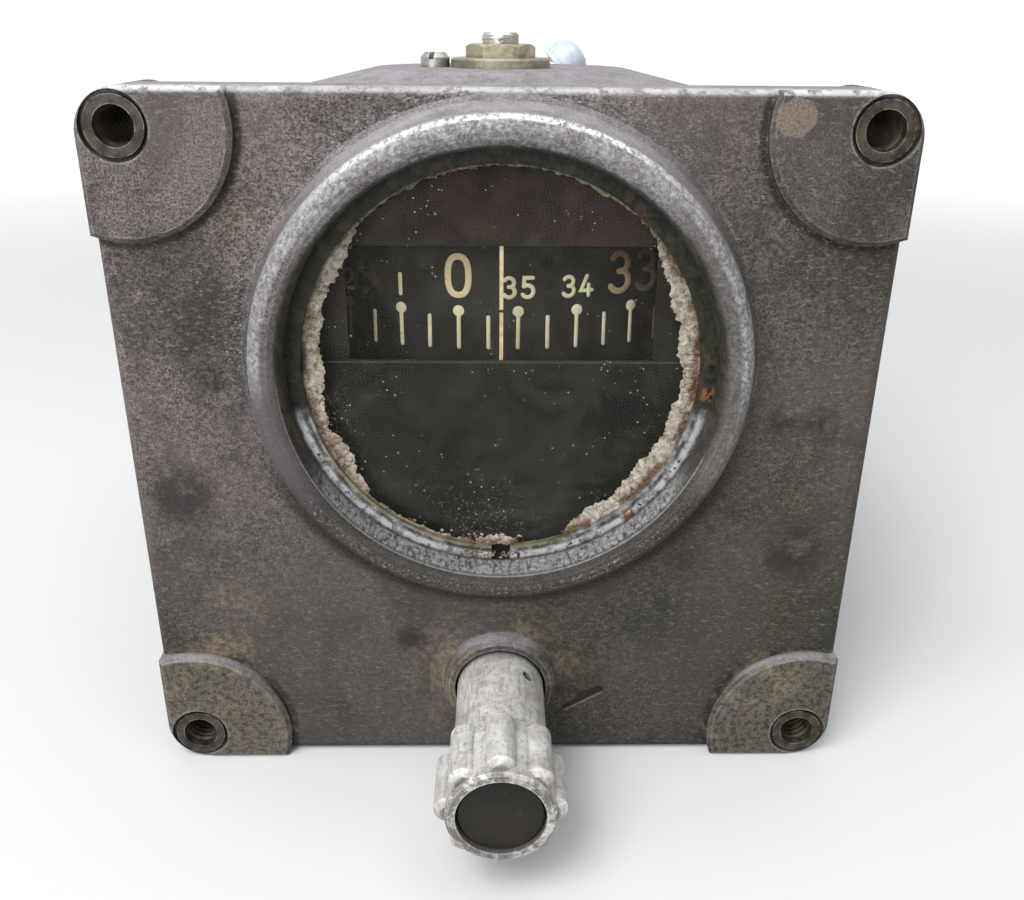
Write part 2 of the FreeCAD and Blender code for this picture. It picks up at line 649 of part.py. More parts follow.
def rear_cover():
    plate = cover_outline(COVER_FRONT, COVER_BACK, 0)
    plate = bevel_edges_at(plate, COVER_EDGE_BEVEL, lambda p: p.y > COVER_BACK - 0.01)
    rim_outer = FILTER_RADIUS + FILTER_RIM
    rim_back = COVER_BACK + FILTER_RIM_HEIGHT
    rim = turned_y([
        (0, COVER_FRONT),
        (rim_outer + 3.0, COVER_FRONT),
        (rim_outer + 3.0, COVER_BACK),
        (rim_outer, COVER_BACK + 2.5),
        (rim_outer, rim_back - 1.0),
        (rim_outer - 1.0, rim_back),
        (0, rim_back),
    ], FILTER_Z)
    cover = plate.fuse(rim)
    cuts = [rod_y(FILTER_RADIUS + SEAT_CLEARANCE, COVER_BACK, rim_back + 1, 0, FILTER_Z)]
    cuts.append(rod_y(AIR_HOLE_RADIUS, COVER_FRONT - 1, COVER_BACK + 1, 0, FILTER_Z))
    for i in range(AIR_HOLE_COUNT):
        x, z = polar(AIR_HOLE_RING_RADIUS, 360 * i / AIR_HOLE_COUNT)
        cuts.append(rod_y(AIR_HOLE_RADIUS, COVER_FRONT - 1, COVER_BACK + 1, x, FILTER_Z + z))
    bore = SCREW_RADIUS + 4 * THREAD_CLEARANCE
    for x, z in cover_screw_points():
        cuts.append(rod_y(bore, COVER_FRONT - 1, COVER_BACK + 1, x, z))
    return cover.cut(Part.makeCompound(cuts))


def cover_screws():
    tip = COVER_BACK - SCREW_LENGTH - COVER_THICK + 2.0
    return Part.makeCompound([slotted_screw_y(x, z, COVER_BACK, tip) for x, z in cover_screw_points()])


def air_filter():
    return rod_y(FILTER_RADIUS, COVER_BACK, COVER_BACK + FILTER_THICK, 0, FILTER_Z)


def filter_ring():
    front = COVER_BACK + FILTER_THICK
    inner = FILTER_RADIUS - FILTER_RING_WIDTH
    ring = ring_y(FILTER_RADIUS, inner, front, front + FILTER_RING_THICK, FILTER_Z)
    top = FILTER_Z + FILTER_RADIUS + 1
    return ring.cut(box((-1.5, 1.5), (front - 1, front + 3), (FILTER_Z, top)))


def bearing_z(radius, bore, bottom, width):
    """A shielded ball bearing: outer race, sunk shield and inner race in one ring."""
    race = (radius - bore) * BEARING_RACE_SHARE
    sink = BEARING_SHIELD_SINK
    top = bottom + width
    return turned_z([
        (bore, bottom),
        (bore + race, bottom),
        (bore + race, bottom + sink),
        (radius - race, bottom + sink),
        (radius - race, bottom),
        (radius, bottom),
        (radius, top),
        (radius - race, top),
        (radius - race, top - sink),
        (bore + race, top - sink),
        (bore + race, top),
        (bore, top),
    ])


def upper_bearing():
    bore = TRUNNION_RADIUS + RUNNING_CLEARANCE
    return bearing_z(BEARING_RADIUS, bore, UPPER_BEARING_TOP - BEARING_WIDTH, BEARING_WIDTH)


def lower_bearing():
    bore = TRUNNION_RADIUS + RUNNING_CLEARANCE
    return bearing_z(BEARING_RADIUS, bore, LOWER_BEARING_BOTTOM, BEARING_WIDTH)


def lower_bearing_cap():
    cap = rod_z(FOOT_CAP_RADIUS, FOOT_BOTTOM, LOWER_BEARING_BOTTOM, 0, AXIS_Y)
    reach = FOOT_CAP_RADIUS + 1
    half = SLOT_WIDTH
    heights = (FOOT_BOTTOM - 1, FOOT_BOTTOM + FOOT_CAP_SLOT)
    slot = box((-reach, reach), (AXIS_Y - half, AXIS_Y + half), heights)
    return cap.cut(slot)


def bearing_cover():
    top = CROWN_TOP + COVER_PLATE_THICK
    plate = rod_z(COVER_PLATE_RADIUS, CROWN_TOP, top, 0, AXIS_Y)
    plate = bevel_edges_at(plate, COVER_PLATE_BEVEL, lambda p: p.z > top - 0.01)
    return plate.cut(rod_z(STUD_RADIUS + THREAD_CLEARANCE, CROWN_TOP - 1, top + 1, 0, AXIS_Y))


def lock_nut():
    bottom = CROWN_TOP + COVER_PLATE_THICK
    corner = NUT_ACROSS_CORNERS / 2
    points = []
    for i in range(6):
        x, y = polar(corner, 60 * i)
        points.append(point(x, AXIS_Y + y, bottom))
    prism = face_of(points).extrude(point(0, 0, NUT_HEIGHT))
    rounding = turned_z([
        (0, bottom - 1),
        (corner + 2, bottom - 1),
        (corner, bottom + NUT_HEIGHT - NUT_BEVEL_HEIGHT),
        (corner - NUT_BEVEL_DEPTH, bottom + NUT_HEIGHT),
        (0, bottom + NUT_HEIGHT),
    ])
    bore = rod_z(STUD_RADIUS + THREAD_CLEARANCE, bottom - 1, bottom + NUT_HEIGHT + 1, 0, AXIS_Y)
    return prism.common(rounding).cut(bore)


def pivot_stud():
    bottom = UPPER_BEARING_TOP + BODY_CLEARANCE
    top = CROWN_TOP + COVER_PLATE_THICK + NUT_HEIGHT + STUD_STANDOUT
    stud = rod_z(STUD_RADIUS, bottom, top, 0, AXIS_Y)
    stud = stud.makeChamfer(STUD_BEVEL, [e for e in stud.Edges if e.Vertexes[0].Z > top - 0.01][:1])
    half = SLOT_WIDTH / 2
    reach = STUD_RADIUS + 1
    floor = top - STUD_SLOT_DEPTH
    slot = box((-half, half), (AXIS_Y - reach, AXIS_Y + reach), (floor, top + 1))
    return stud.cut(slot)


def crown_screws():
    top = CROWN_TOP + CROWN_SCREW_HEAD_HEIGHT
    half = SLOT_WIDTH / 2
    reach = 2 * CROWN_SCREW_HEAD_RADIUS
    group = []
    for angle in CROWN_SCREW_ANGLES:
        x, y = polar(CROWN_SCREW_RING_RADIUS, angle)
        y += AXIS_Y
        head = rod_z(CROWN_SCREW_HEAD_RADIUS, CROWN_TOP, top, x, y)
        head = bevel_edges_at(head, CROWN_SCREW_BEVEL, lambda p: p.z > CROWN_TOP + 0.1)
        slot = box((x - half, x + half), (y - reach, y + reach), (top - CROWN_SCREW_SLOT_DEPTH, top + 1))
        slot.rotate(point(x, y, 0), Z_AXIS, CROWN_SCREW_SLOT_TURN)
        shank = rod_z(CROWN_SCREW_RADIUS, CROWN_CEILING, CROWN_TOP + 1, x, y)
        group.append(head.cut(slot).fuse(shank))
    return Part.makeCompound(group)


def port_direction():
    tilt = math.radians(PORT_TILT)
    return point(math.sin(tilt), 0, math.cos(tilt))


def port_origin():
    return point(PORT_X, PORT_Y, CASE_TOP + PORT_BOSS_HEIGHT + PORT_BASE_HEIGHT)


def suction_port():
    seat = CASE_TOP + PORT_BOSS_HEIGHT
    points = []
    for i in range(6):
        x, y = polar(PORT_BASE_RADIUS, 60 * i)
        points.append(point(PORT_X + x, PORT_Y + y, seat))
    base = face_of(points).extrude(point(0, 0, PORT_BASE_HEIGHT))
    spigot = rod_z(PORT_TUBE_RADIUS - SEAT_CLEARANCE, CAVITY_TOP + 0.5, seat + 1, PORT_X, PORT_Y)
    tube = Part.makeCylinder(PORT_TUBE_RADIUS, PORT_TUBE_LENGTH, port_origin(), port_direction())
    elbow = Part.makeSphere(PORT_TUBE_RADIUS, port_origin())
    port = base.multiFuse([spigot, tube, elbow])
    down = rod_z(PORT_BORE, CAVITY_TOP - 1, seat + 1.5, PORT_X, PORT_Y)
    bore = Part.makeCylinder(PORT_BORE, PORT_TUBE_LENGTH + 2, port_origin(), port_direction())
    return port.cut(down).cut(bore)


def port_cap():
    """A push-on cap with a domed end and a bead round its open end."""
    start = PORT_CAP_START
    end = start + PORT_CAP_LENGTH
    bead_radius = PORT_CAP_RADIUS + PORT_CAP_BEAD
    bore = PORT_TUBE_RADIUS + SEAT_CLEARANCE
    floor = PORT_TUBE_LENGTH + PORT_CAP_GAP
    dome_centre = (PORT_CAP_RADIUS - PORT_CAP_DOME, end - PORT_CAP_DOME)
    dome = arc_steps(dome_centre, (PORT_CAP_DOME, PORT_CAP_DOME), 0, 90)
    profile = [
        (bore, start),
        (bead_radius, start),
        (bead_radius, start + PORT_CAP_BEAD_WIDTH),
        (PORT_CAP_RADIUS, start + PORT_CAP_BEAD_WIDTH),
        *dome,
        (0, end),
        (0, floor),
        (bore, floor),
    ]
    face = face_of([point(r, 0, h) for r, h in profile])
    cap = face.revolve(point(0, 0, 0), Z_AXIS, 360)
    cap.rotate(point(0, 0, 0), Y_AXIS, PORT_TILT)
    cap.translate(port_origin())
    return cap


def vertical_gimbal():
    """The outer ring, with its trunnions, the seats for the tilt pivots and the card's lugs."""
    half = GIMBAL_THICK / 2
    inner = GIMBAL_RADIUS - GIMBAL_RIM
    front = AXIS_Y - half
    back = AXIS_Y + half
    side_reach = GIMBAL_RADIUS + GIMBAL_PAD_HEIGHT
    root = GIMBAL_BOSS_ROOT
    pads = [
        rod_x(GIMBAL_BOSS_RADIUS, -side_reach, side_reach, AXIS_Y, GIMBAL_Z),
        rod_z(GIMBAL_BOSS_RADIUS, GEAR_TOP, GIMBAL_BOTTOM + root, 0, AXIS_Y),
        rod_z(GIMBAL_BOSS_RADIUS, GIMBAL_TOP - root, GIMBAL_TOP + GIMBAL_TOP_BOSS, 0, AXIS_Y),
    ]
    for side in (-1, 1):
        x_range = sorted((side * GIMBAL_LUG_START, side * lug_end()))
        pads.append(box(x_range, (front, back), (CARD_TOP - GIMBAL_LUG_DEPTH, CARD_TOP)))
    gimbal = rod_y(GIMBAL_RADIUS, front, back, 0, GIMBAL_Z).multiFuse(pads)
    gimbal = gimbal.cut(rod_y(inner, front - half, back + half, 0, GIMBAL_Z))
    trunnions = [
        rod_z(TRUNNION_RADIUS, LOWER_BEARING_BOTTOM + BODY_CLEARANCE, GEAR_TOP + root, 0, AXIS_Y),
        rod_z(TRUNNION_RADIUS, GIMBAL_TOP, UPPER_BEARING_TOP, 0, AXIS_Y),
    ]
    gimbal = gimbal.multiFuse(trunnions)
    bore = PIVOT_BODY_RADIUS + SEAT_CLEARANCE
    holes = [rod_x(bore, -GIMBAL_RADIUS - root, GIMBAL_RADIUS + root, AXIS_Y, GIMBAL_Z)]
    for axis in nozzle_axes():
        holes.append(nozzle_rod(axis, NOZZLE_RADIUS + SEAT_CLEARANCE, inner - half, GIMBAL_RADIUS + half))
    return gimbal.cut(Part.makeCompound(holes))


def lug_end():
    return GIMBAL_LUG_START + GIMBAL_LUG_WIDTH


def nozzle_axes():
    return [point(*unit_down(side * NOZZLE_ANGLE)) for side in (-1, 1)]


def unit_down(degrees):
    angle = math.radians(degrees)
    return math.sin(angle), 0, -math.cos(angle)


def nozzle_rod(direction, radius, start, end):
    base = point(0, AXIS_Y, GIMBAL_Z) + direction * start
    return Part.makeCylinder(radius, end - start, base, direction)


def air_nozzles():
    inner = GIMBAL_RADIUS - GIMBAL_RIM
    group = []
    for axis in nozzle_axes():
        start = inner - NOZZLE_STANDOUT
        end = GIMBAL_RADIUS + NOZZLE_HEAD
        tube = nozzle_rod(axis, NOZZLE_RADIUS, start, end)
        group.append(tube.cut(nozzle_rod(axis, NOZZLE_BORE, start - 1, end + 1)))
    return Part.makeCompound(group)


def gimbal_pivots():
    group = []
    tip = TILT_BOSS_END - TILT_BEARING_WIDTH
    shoulder = TILT_BOSS_END + PIVOT_SHOULDER_GAP
    head = GIMBAL_RADIUS + GIMBAL_PAD_HEIGHT
    for side in (-1, 1):
        spans = [
            (TILT_PIN_RADIUS, tip, head),
            (PIVOT_BODY_RADIUS, shoulder, head),
            (PIVOT_HEAD_RADIUS, head, head + PIVOT_HEAD_HEIGHT),
        ]
        rods = [rod_x(r, *sorted((side * a, side * b)), AXIS_Y, GIMBAL_Z) for r, a, b in spans]
        group.append(rods[0].multiFuse(rods[1:]))
    return Part.makeCompound(group)


def azimuth_card():
    outer = rod_z(CARD_RADIUS, CARD_BOTTOM, CARD_TOP, 0, AXIS_Y)
    return outer.cut(rod_z(CARD_RADIUS - CARD_WALL, CARD_BOTTOM - 1, CARD_TOP + 1, 0, AXIS_Y))


def spider_bore():
    rise = CARD_TOP - GIMBAL_Z
    return math.sqrt(GIMBAL_RADIUS ** 2 - rise ** 2) + SPIDER_CLEARANCE


def card_screw_points():
    x = (spider_bore() + lug_end()) / 2
    return [(-x, AXIS_Y), (x, AXIS_Y)]


def card_spider():
    top = CARD_TOP + SPIDER_THICK
    disc = rod_z(CARD_RADIUS, CARD_TOP, top, 0, AXIS_Y)
    cuts = [rod_z(spider_bore(), CARD_TOP - 1, top + 1, 0, AXIS_Y)]
    circle = (spider_bore() + CARD_RADIUS) / 2 + SPIDER_HOLE_OUTSET
    for i in range(SPIDER_HOLE_COUNT):
        x, y = polar(circle, 360 * (i + 0.5) / SPIDER_HOLE_COUNT)
        cuts.append(rod_z(SPIDER_HOLE_RADIUS, CARD_TOP - 1, top + 1, x, AXIS_Y + y))
    for x, y in card_screw_points():
        cuts.append(rod_z(CARD_SCREW_RADIUS + THREAD_CLEARANCE, CARD_TOP - 1, top + 1, x, y))
    return disc.cut(Part.makeCompound(cuts))


def card_screws():
    top = CARD_TOP + SPIDER_THICK
    group = []
    for x, y in card_screw_points():
        head_top = top + CARD_SCREW_HEAD_HEIGHT
        head = rod_z(CARD_SCREW_HEAD_RADIUS, top, head_top, x, y)
        group.append(head.fuse(rod_z(CARD_SCREW_RADIUS, CARD_TOP, head_top, x, y)))
    return Part.makeCompound(group)


def synchroniser_gear():
    outer = GEAR_PITCH_RADIUS + GEAR_FACE_WIDTH / 2
    inner = GEAR_PITCH_RADIUS - GEAR_FACE_WIDTH / 2
    rim = rod_z(outer, GEAR_BOTTOM, GEAR_TOP, 0, AXIS_Y)
    rim = rim.cut(rod_z(inner, GEAR_BOTTOM - 1, GEAR_TOP + 1, 0, AXIS_Y))
    gap = math.pi * GEAR_PITCH_RADIUS / GEAR_TEETH
    slots = []
    for i in range(GEAR_TEETH):
        slot = box((inner - 2, outer + 2), (-gap / 2, gap / 2), (GEAR_TOP - GEAR_TOOTH_DEPTH, GEAR_TOP + 1))
        slot.rotate(point(0, 0, 0), Z_AXIS, 360 * i / GEAR_TEETH)
        slot.translate(point(0, AXIS_Y, 0))
        slots.append(slot)
    rim = rim.cut(Part.makeCompound(slots))
    parts = [rod_z(GEAR_HUB_RADIUS, GEAR_BOTTOM, GEAR_TOP, 0, AXIS_Y)]
    for i in range(GEAR_SPOKES):
        half = GEAR_SPOKE_WIDTH / 2
        spoke = box((0, inner + 1), (-half, half), (GEAR_BOTTOM, GEAR_BOTTOM + GEAR_SPOKE_THICK))
        spoke.rotate(point(0, 0, 0), Z_AXIS, 360 * (i + 0.5) / GEAR_SPOKES)
        spoke.translate(point(0, AXIS_Y, 0))
        parts.append(spoke)
    gear = rim.multiFuse(parts)
    bore = TRUNNION_RADIUS + PRESS_CLEARANCE
    return gear.cut(rod_z(bore, GEAR_BOTTOM - 1, GEAR_TOP + 1, 0, AXIS_Y))


def rotor_case_shell():
    inner_radius = ROTOR_CASE_RADIUS - ROTOR_CASE_WALL
    front = AXIS_Y - ROTOR_CASE_HALF_LENGTH
    back = AXIS_Y + ROTOR_CASE_HALF_LENGTH
    shell = rod_y(ROTOR_CASE_RADIUS, front, back, 0, GIMBAL_Z)
    shell = bevel_edges_at(shell, 2.0, lambda p: p.y < front + 0.01)
    hub = rod_y(ROTOR_CASE_HUB_RADIUS, front - ROTOR_CASE_HUB_HEIGHT, front + 1, 0, GIMBAL_Z)
    bosses = rod_x(TILT_BOSS_RADIUS, -TILT_BOSS_END, TILT_BOSS_END, AXIS_Y, GIMBAL_Z)
    case = shell.multiFuse([hub, bosses])
    return case.cut(rod_y(inner_radius, front + ROTOR_CASE_WALL, back + 1, 0, GIMBAL_Z))


def rotor_case():
    """The inner gimbal: a cup round the rotor, open at the back, with slots for the air."""
    case = rotor_case_shell()
    front = AXIS_Y - ROTOR_CASE_HALF_LENGTH
    seat = TILT_BOSS_END - TILT_BEARING_WIDTH
    bore = TILT_BEARING_RADIUS + SEAT_CLEARANCE
    half = JET_SLOT_LENGTH / 2
    span = JET_SLOT_SPAN / 2
    far = ROTOR_CASE_RADIUS + 5
    hub_front = front - ROTOR_CASE_HUB_HEIGHT
    bearing_back = hub_front + ROTOR_BEARING_WIDTH
    cuts = [
        rod_x(bore, seat, TILT_BOSS_END + 1, AXIS_Y, GIMBAL_Z),
        rod_x(bore, -TILT_BOSS_END - 1, -seat, AXIS_Y, GIMBAL_Z),
        rod_y(ROTOR_BEARING_RADIUS + SEAT_CLEARANCE, hub_front - 1, bearing_back, 0, GIMBAL_Z),
        rod_y(ROTOR_BEARING_RADIUS - ROTOR_BEARING_LIP, hub_front, front + 5, 0, GIMBAL_Z),
        box((-span, span), (AXIS_Y - half, AXIS_Y + half), (GIMBAL_Z - far, GIMBAL_Z - 15)),
        box((-span, span), (AXIS_Y - half, AXIS_Y + half), (GIMBAL_Z + 15, GIMBAL_Z + far)),
    ]
    return case.cut(Part.makeCompound(cuts))


def rotor_case_cover():
    back = AXIS_Y + ROTOR_CASE_HALF_LENGTH
    end = back + ROTOR_CASE_WALL
    plate = rod_y(ROTOR_CASE_RADIUS, back, end, 0, GIMBAL_Z)
    plate = bevel_edges_at(plate, 1.4, lambda p: p.y > end - 0.01)
    hub_back = back + ROTOR_CASE_HUB_HEIGHT
    hub = rod_y(ROTOR_CASE_HUB_RADIUS, back - ROTOR_CASE_WALL, hub_back, 0, GIMBAL_Z)
    bearing_front = hub_back - ROTOR_BEARING_WIDTH
    bore = rod_y(ROTOR_BEARING_RADIUS + SEAT_CLEARANCE, bearing_front, hub_back + 1, 0, GIMBAL_Z)
    shaft_hole = rod_y(ROTOR_BEARING_RADIUS - ROTOR_BEARING_LIP, back - 5, hub_back, 0, GIMBAL_Z)
    return plate.fuse(hub).cut(bore).cut(shaft_hole)


def rotor_bearings():
    bore = ROTOR_SHAFT_RADIUS + RUNNING_CLEARANCE
    reach = ROTOR_CASE_HALF_LENGTH + ROTOR_CASE_HUB_HEIGHT
    front = AXIS_Y - reach
    back = AXIS_Y + reach
    ends = [(front, front + ROTOR_BEARING_WIDTH), (back - ROTOR_BEARING_WIDTH, back)]
    return Part.makeCompound([ring_y(ROTOR_BEARING_RADIUS, bore, a, b, GIMBAL_Z) for a, b in ends])


def tilt_bearings():
    group = []
    seat = TILT_BOSS_END - TILT_BEARING_WIDTH
    for side in (-1, 1):
        ends = sorted((side * seat, side * TILT_BOSS_END))
        ring = rod_x(TILT_BEARING_RADIUS, *ends, AXIS_Y, GIMBAL_Z)
        bore = TILT_PIN_RADIUS + RUNNING_CLEARANCE
        group.append(ring.cut(rod_x(bore, ends[0] - 1, ends[1] + 1, AXIS_Y, GIMBAL_Z)))
    return Part.makeCompound(group)


def balance_weights():
    front = AXIS_Y + ROTOR_CASE_HALF_LENGTH + ROTOR_CASE_WALL
    places = [GIMBAL_Z + side * WEIGHT_OFFSET for side in (-1, 1)]
    return Part.makeCompound([rod_y(WEIGHT_RADIUS, front, front + WEIGHT_THICK, 0, z) for z in places])


def rotor():
    """The heavy wheel, with a ring of slanting air buckets cut in the middle of its rim."""
    bore = ROTOR_SHAFT_RADIUS + PRESS_CLEARANCE
    rim = ROTOR_RADIUS - ROTOR_RIM
    front = AXIS_Y - ROTOR_WIDTH / 2
    back = AXIS_Y + ROTOR_WIDTH / 2
    wheel = turned_y([
        (bore, front),
        (ROTOR_HUB_RADIUS, front),
        (ROTOR_HUB_RADIUS + ROTOR_WEB_SLOPE, front + ROTOR_WEB_SINK),
        (rim - ROTOR_WEB_SLOPE, front + ROTOR_WEB_SINK),
        (rim, front),
        (ROTOR_RADIUS, front),
        (ROTOR_RADIUS, back),
        (rim, back),
        (rim - ROTOR_WEB_SLOPE, back - ROTOR_WEB_SINK),
        (ROTOR_HUB_RADIUS + ROTOR_WEB_SLOPE, back - ROTOR_WEB_SINK),
        (ROTOR_HUB_RADIUS, back),
        (bore, back),
    ], GIMBAL_Z)
    half = BUCKET_WIDTH / 2
    pitch = 2 * math.pi * ROTOR_RADIUS / BUCKET_COUNT
    buckets = []
    for i in range(BUCKET_COUNT):
        bucket = box((-pitch, 0), (-half, half), (-BUCKET_DEPTH, BUCKET_DEPTH * 2))
        bucket.rotate(point(0, 0, -BUCKET_DEPTH), Y_AXIS, -BUCKET_TILT)
        bucket.translate(point(0, 0, ROTOR_RADIUS))
        bucket.rotate(point(0, 0, 0), Y_AXIS, 360 * i / BUCKET_COUNT)
        bucket.translate(point(0, AXIS_Y, GIMBAL_Z))
        buckets.append(bucket)
    return wheel.cut(Part.makeCompound(buckets))


def rotor_shaft():
    reach = ROTOR_CASE_HALF_LENGTH + ROTOR_CASE_HUB_HEIGHT - BODY_CLEARANCE
    return rod_y(ROTOR_SHAFT_RADIUS, AXIS_Y - reach, AXIS_Y + reach, 0, GIMBAL_Z)


def caging_knob():
    """A plain sleeve that swells to a grip with eight ribs round a recessed end."""
    grip = KNOB_END + KNOB_GRIP_LENGTH
    body = turned_y([
        (0, KNOB_END),
        (KNOB_END_RADIUS - KNOB_END_BEVEL, KNOB_END),
        (KNOB_END_RADIUS, KNOB_END + KNOB_END_BEVEL),
        (KNOB_END_RADIUS, grip - KNOB_NECK_START),
        (KNOB_STEM_RADIUS, grip + KNOB_NECK_END),
        (KNOB_STEM_RADIUS, KNOB_STEM_BACK - KNOB_STEM_BEVEL),
        (KNOB_STEM_RADIUS - KNOB_STEM_BEVEL, KNOB_STEM_BACK),
        (0, KNOB_STEM_BACK),
    ], KNOB_Z)
    lobes = []
    for i in range(KNOB_LOBES):
        x, z = polar(KNOB_GRIP_RADIUS - KNOB_LOBE_RADIUS, 90 + 360 * i / KNOB_LOBES)
        lobe = rod_y(KNOB_LOBE_RADIUS, KNOB_END + KNOB_RIB_START, grip - KNOB_RIB_END, x, KNOB_Z + z)
        ends = [e for e in lobe.Edges if e.Closed and len(e.Vertexes) == 1]
        lobes.append(lobe.makeChamfer(KNOB_RIB_BEVEL, ends))
    knob = body.multiFuse(lobes)
    cuts = [
        rod_y(KNOB_RECESS_RADIUS, KNOB_END - 1, KNOB_END + KNOB_RECESS_DEPTH, 0, KNOB_Z),
        rod_y(SHAFT_RADIUS + PRESS_CLEARANCE, shaft_front(), KNOB_STEM_BACK + 1, 0, KNOB_Z),
        set_screw_rod(SET_SCREW_RADIUS, 0, KNOB_STEM_RADIUS + 1),
    ]
    return knob.cut(Part.makeCompound(cuts))


def shaft_front():
    return KNOB_END + KNOB_RECESS_DEPTH + KNOB_WEB


def set_screw_rod(radius, start, end):
    x, z = polar(1.0, SET_SCREW_ANGLE)
    direction = point(x, 0, z)
    base = point(0, SET_SCREW_Y, KNOB_Z) + direction * start
    return Part.makeCylinder(radius, end - start, base, direction)


def knob_set_screw():
    start = SHAFT_RADIUS + PRESS_CLEARANCE
    return set_screw_rod(SET_SCREW_RADIUS - PRESS_CLEARANCE, start, KNOB_STEM_RADIUS - SET_SCREW_SINK)


def knob_insert():
    front = KNOB_END + KNOB_INSERT_SINK
    back = KNOB_END + KNOB_RECESS_DEPTH
    disc = rod_y(KNOB_RECESS_RADIUS - SEAT_CLEARANCE, front, back, 0, KNOB_Z)
    return bevel_edges_at(disc, KNOB_END_BEVEL, lambda p: p.y < front + 0.01)


def caging_shaft():
    end = PINION_BACK
    shaft = rod_y(SHAFT_RADIUS, shaft_front() + SEAT_CLEARANCE, end, 0, KNOB_Z)
    shoulder_back = SHOULDER_FRONT + SHAFT_SHOULDER_THICK
    return shaft.fuse(rod_y(SHAFT_SHOULDER_RADIUS, SHOULDER_FRONT, shoulder_back, 0, KNOB_Z))


def caging_pinion():
    """A small spur gear with a hub that holds the shift frame against the shaft's shoulder."""
    teeth_front = PINION_BACK - PINION_LENGTH
    points = []
    for i in range(PINION_TEETH):
        start = 360 * i / PINION_TEETH
        pitch = 360 / PINION_TEETH
        for share, radius in PINION_TOOTH:
            x, z = polar(radius, start + share * pitch)
            points.append(point(x, teeth_front, KNOB_Z + z))
    teeth = face_of(points).extrude(point(0, PINION_LENGTH, 0))
    hub = rod_y(PINION_ROOT, PINION_FRONT, PINION_BACK, 0, KNOB_Z)
    bore = SHAFT_RADIUS + PRESS_CLEARANCE
    return teeth.fuse(hub).cut(rod_y(bore, PINION_FRONT - 1, PINION_BACK + 1, 0, KNOB_Z))


def shaft_bush():
    bush = rod_y(BUSH_RADIUS, BUSH_FRONT, BUSH_BACK, 0, KNOB_Z)
    flange_ring = rod_y(BUSH_FLANGE_RADIUS, BUSH_BACK, BUSH_BACK + BUSH_FLANGE_THICK, 0, KNOB_Z)
    bore = rod_y(SHAFT_RADIUS + RUNNING_CLEARANCE, BUSH_FRONT - 1, BUSH_BACK + 3, 0, KNOB_Z)
    return bush.fuse(flange_ring).cut(bore)


def shift_frame():
    """The frame that the shaft carries in and out: two rails whose sloping slots lift the yoke."""
    outer = SHIFT_RAIL_X + SHIFT_RAIL_THICK
    bottom = CAVITY_BOTTOM + 2 * BODY_CLEARANCE
    top = KNOB_Z + SHAFT_SHOULDER_RADIUS + SHIFT_EYE_WALL
    plate = box((-outer, outer), (SHIFT_FRONT, SHIFT_BACK), (bottom, top))
    rails = []
    slots = []
    slot_half = YOKE_PIN_RADIUS + YOKE_PIN_CLEARANCE
    rail_front = YOKE_PIN_Y - KNOB_TRAVEL - slot_half - SHIFT_RAIL_END
    rail_back = YOKE_PIN_Y + slot_half + SHIFT_RAIL_END
    rail_top = YOKE_PIN_Z + YOKE_LIFT + SHIFT_RAIL_HEAD
    for side in (-1, 1):
        x_range = sorted((side * SHIFT_RAIL_X, side * outer))
        rails.append(box(x_range, (rail_front, rail_back), (bottom, rail_top)))
        slots.append(slope_slot(x_range, slot_half))
    frame = plate.multiFuse(rails).cut(Part.makeCompound(slots))
    return frame.cut(rod_y(SHAFT_RADIUS + RUNNING_CLEARANCE, SHIFT_FRONT - 1, SHIFT_BACK + 1, 0, KNOB_Z))


def slope_slot(x_range, half):
    """A slot that climbs by the yoke's lift over the knob's travel, going forward."""
    slope = math.atan2(YOKE_LIFT, KNOB_TRAVEL)
    length = math.hypot(YOKE_LIFT, KNOB_TRAVEL)
    low = x_range[0] - 1
    high = x_range[1] + 1
    slot = box((low, high), (-length, 0), (-half, half))
    rounds = [rod_x(half, low, high, y, 0) for y in (-length, 0)]
    slot = slot.multiFuse(rounds)
    slot.rotate(point(0, 0, 0), X_AXIS, -math.degrees(slope))
    slot.translate(point(0, YOKE_PIN_Y, YOKE_PIN_Z))
    return slot


def caging_yoke():
    """A horseshoe round the gear, carried on three posts, with an arm and a pin to each rail."""
    outer = YOKE_INNER + YOKE_WIDTH
    heights = (YOKE_BOTTOM, YOKE_TOP)
    past = (YOKE_BOTTOM - 1, YOKE_TOP + 1)
    neck_radius = POST_RADIUS + POST_NECK_WALL
    ears = []
    holes = [rod_z(YOKE_INNER, *past, 0, AXIS_Y)]
    for angle in POST_ANGLES:
        x, y = polar(POST_RING_RADIUS, angle)
        ears.append(rod_z(POST_RADIUS + POST_EAR_WALL, *heights, x, AXIS_Y + y))
        holes.append(rod_z(POST_RADIUS + RUNNING_CLEARANCE, *past, x, AXIS_Y + y))
        x, y = polar(outer + YOKE_ARM_GAP, angle)
        ears.append(rod_z(neck_radius, *heights, x, AXIS_Y + y))
    ring = rod_z(outer, *heights, 0, AXIS_Y)
    mouth = box((-YOKE_ARM_X, YOKE_ARM_X), (0, AXIS_Y - YOKE_INNER / 2), past)
    yoke = ring.multiFuse(ears).cut(Part.makeCompound(holes)).cut(mouth)
    arm_back = AXIS_Y - YOKE_INNER + YOKE_ARM_WIDTH
    arms = []
    for side in (-1, 1):
        x_range = sorted((side * YOKE_ARM_X, side * (YOKE_ARM_X + YOKE_ARM_WIDTH)))
        arms.append(box(x_range, (YOKE_PIN_Y - YOKE_ARM_NOSE, arm_back), heights))
        pin_range = sorted((side * SHIFT_RAIL_X, side * (YOKE_ARM_X + 1)))
        arms.append(rod_x(YOKE_PIN_RADIUS, *pin_range, YOKE_PIN_Y, YOKE_PIN_Z))
    return yoke.multiFuse(arms)


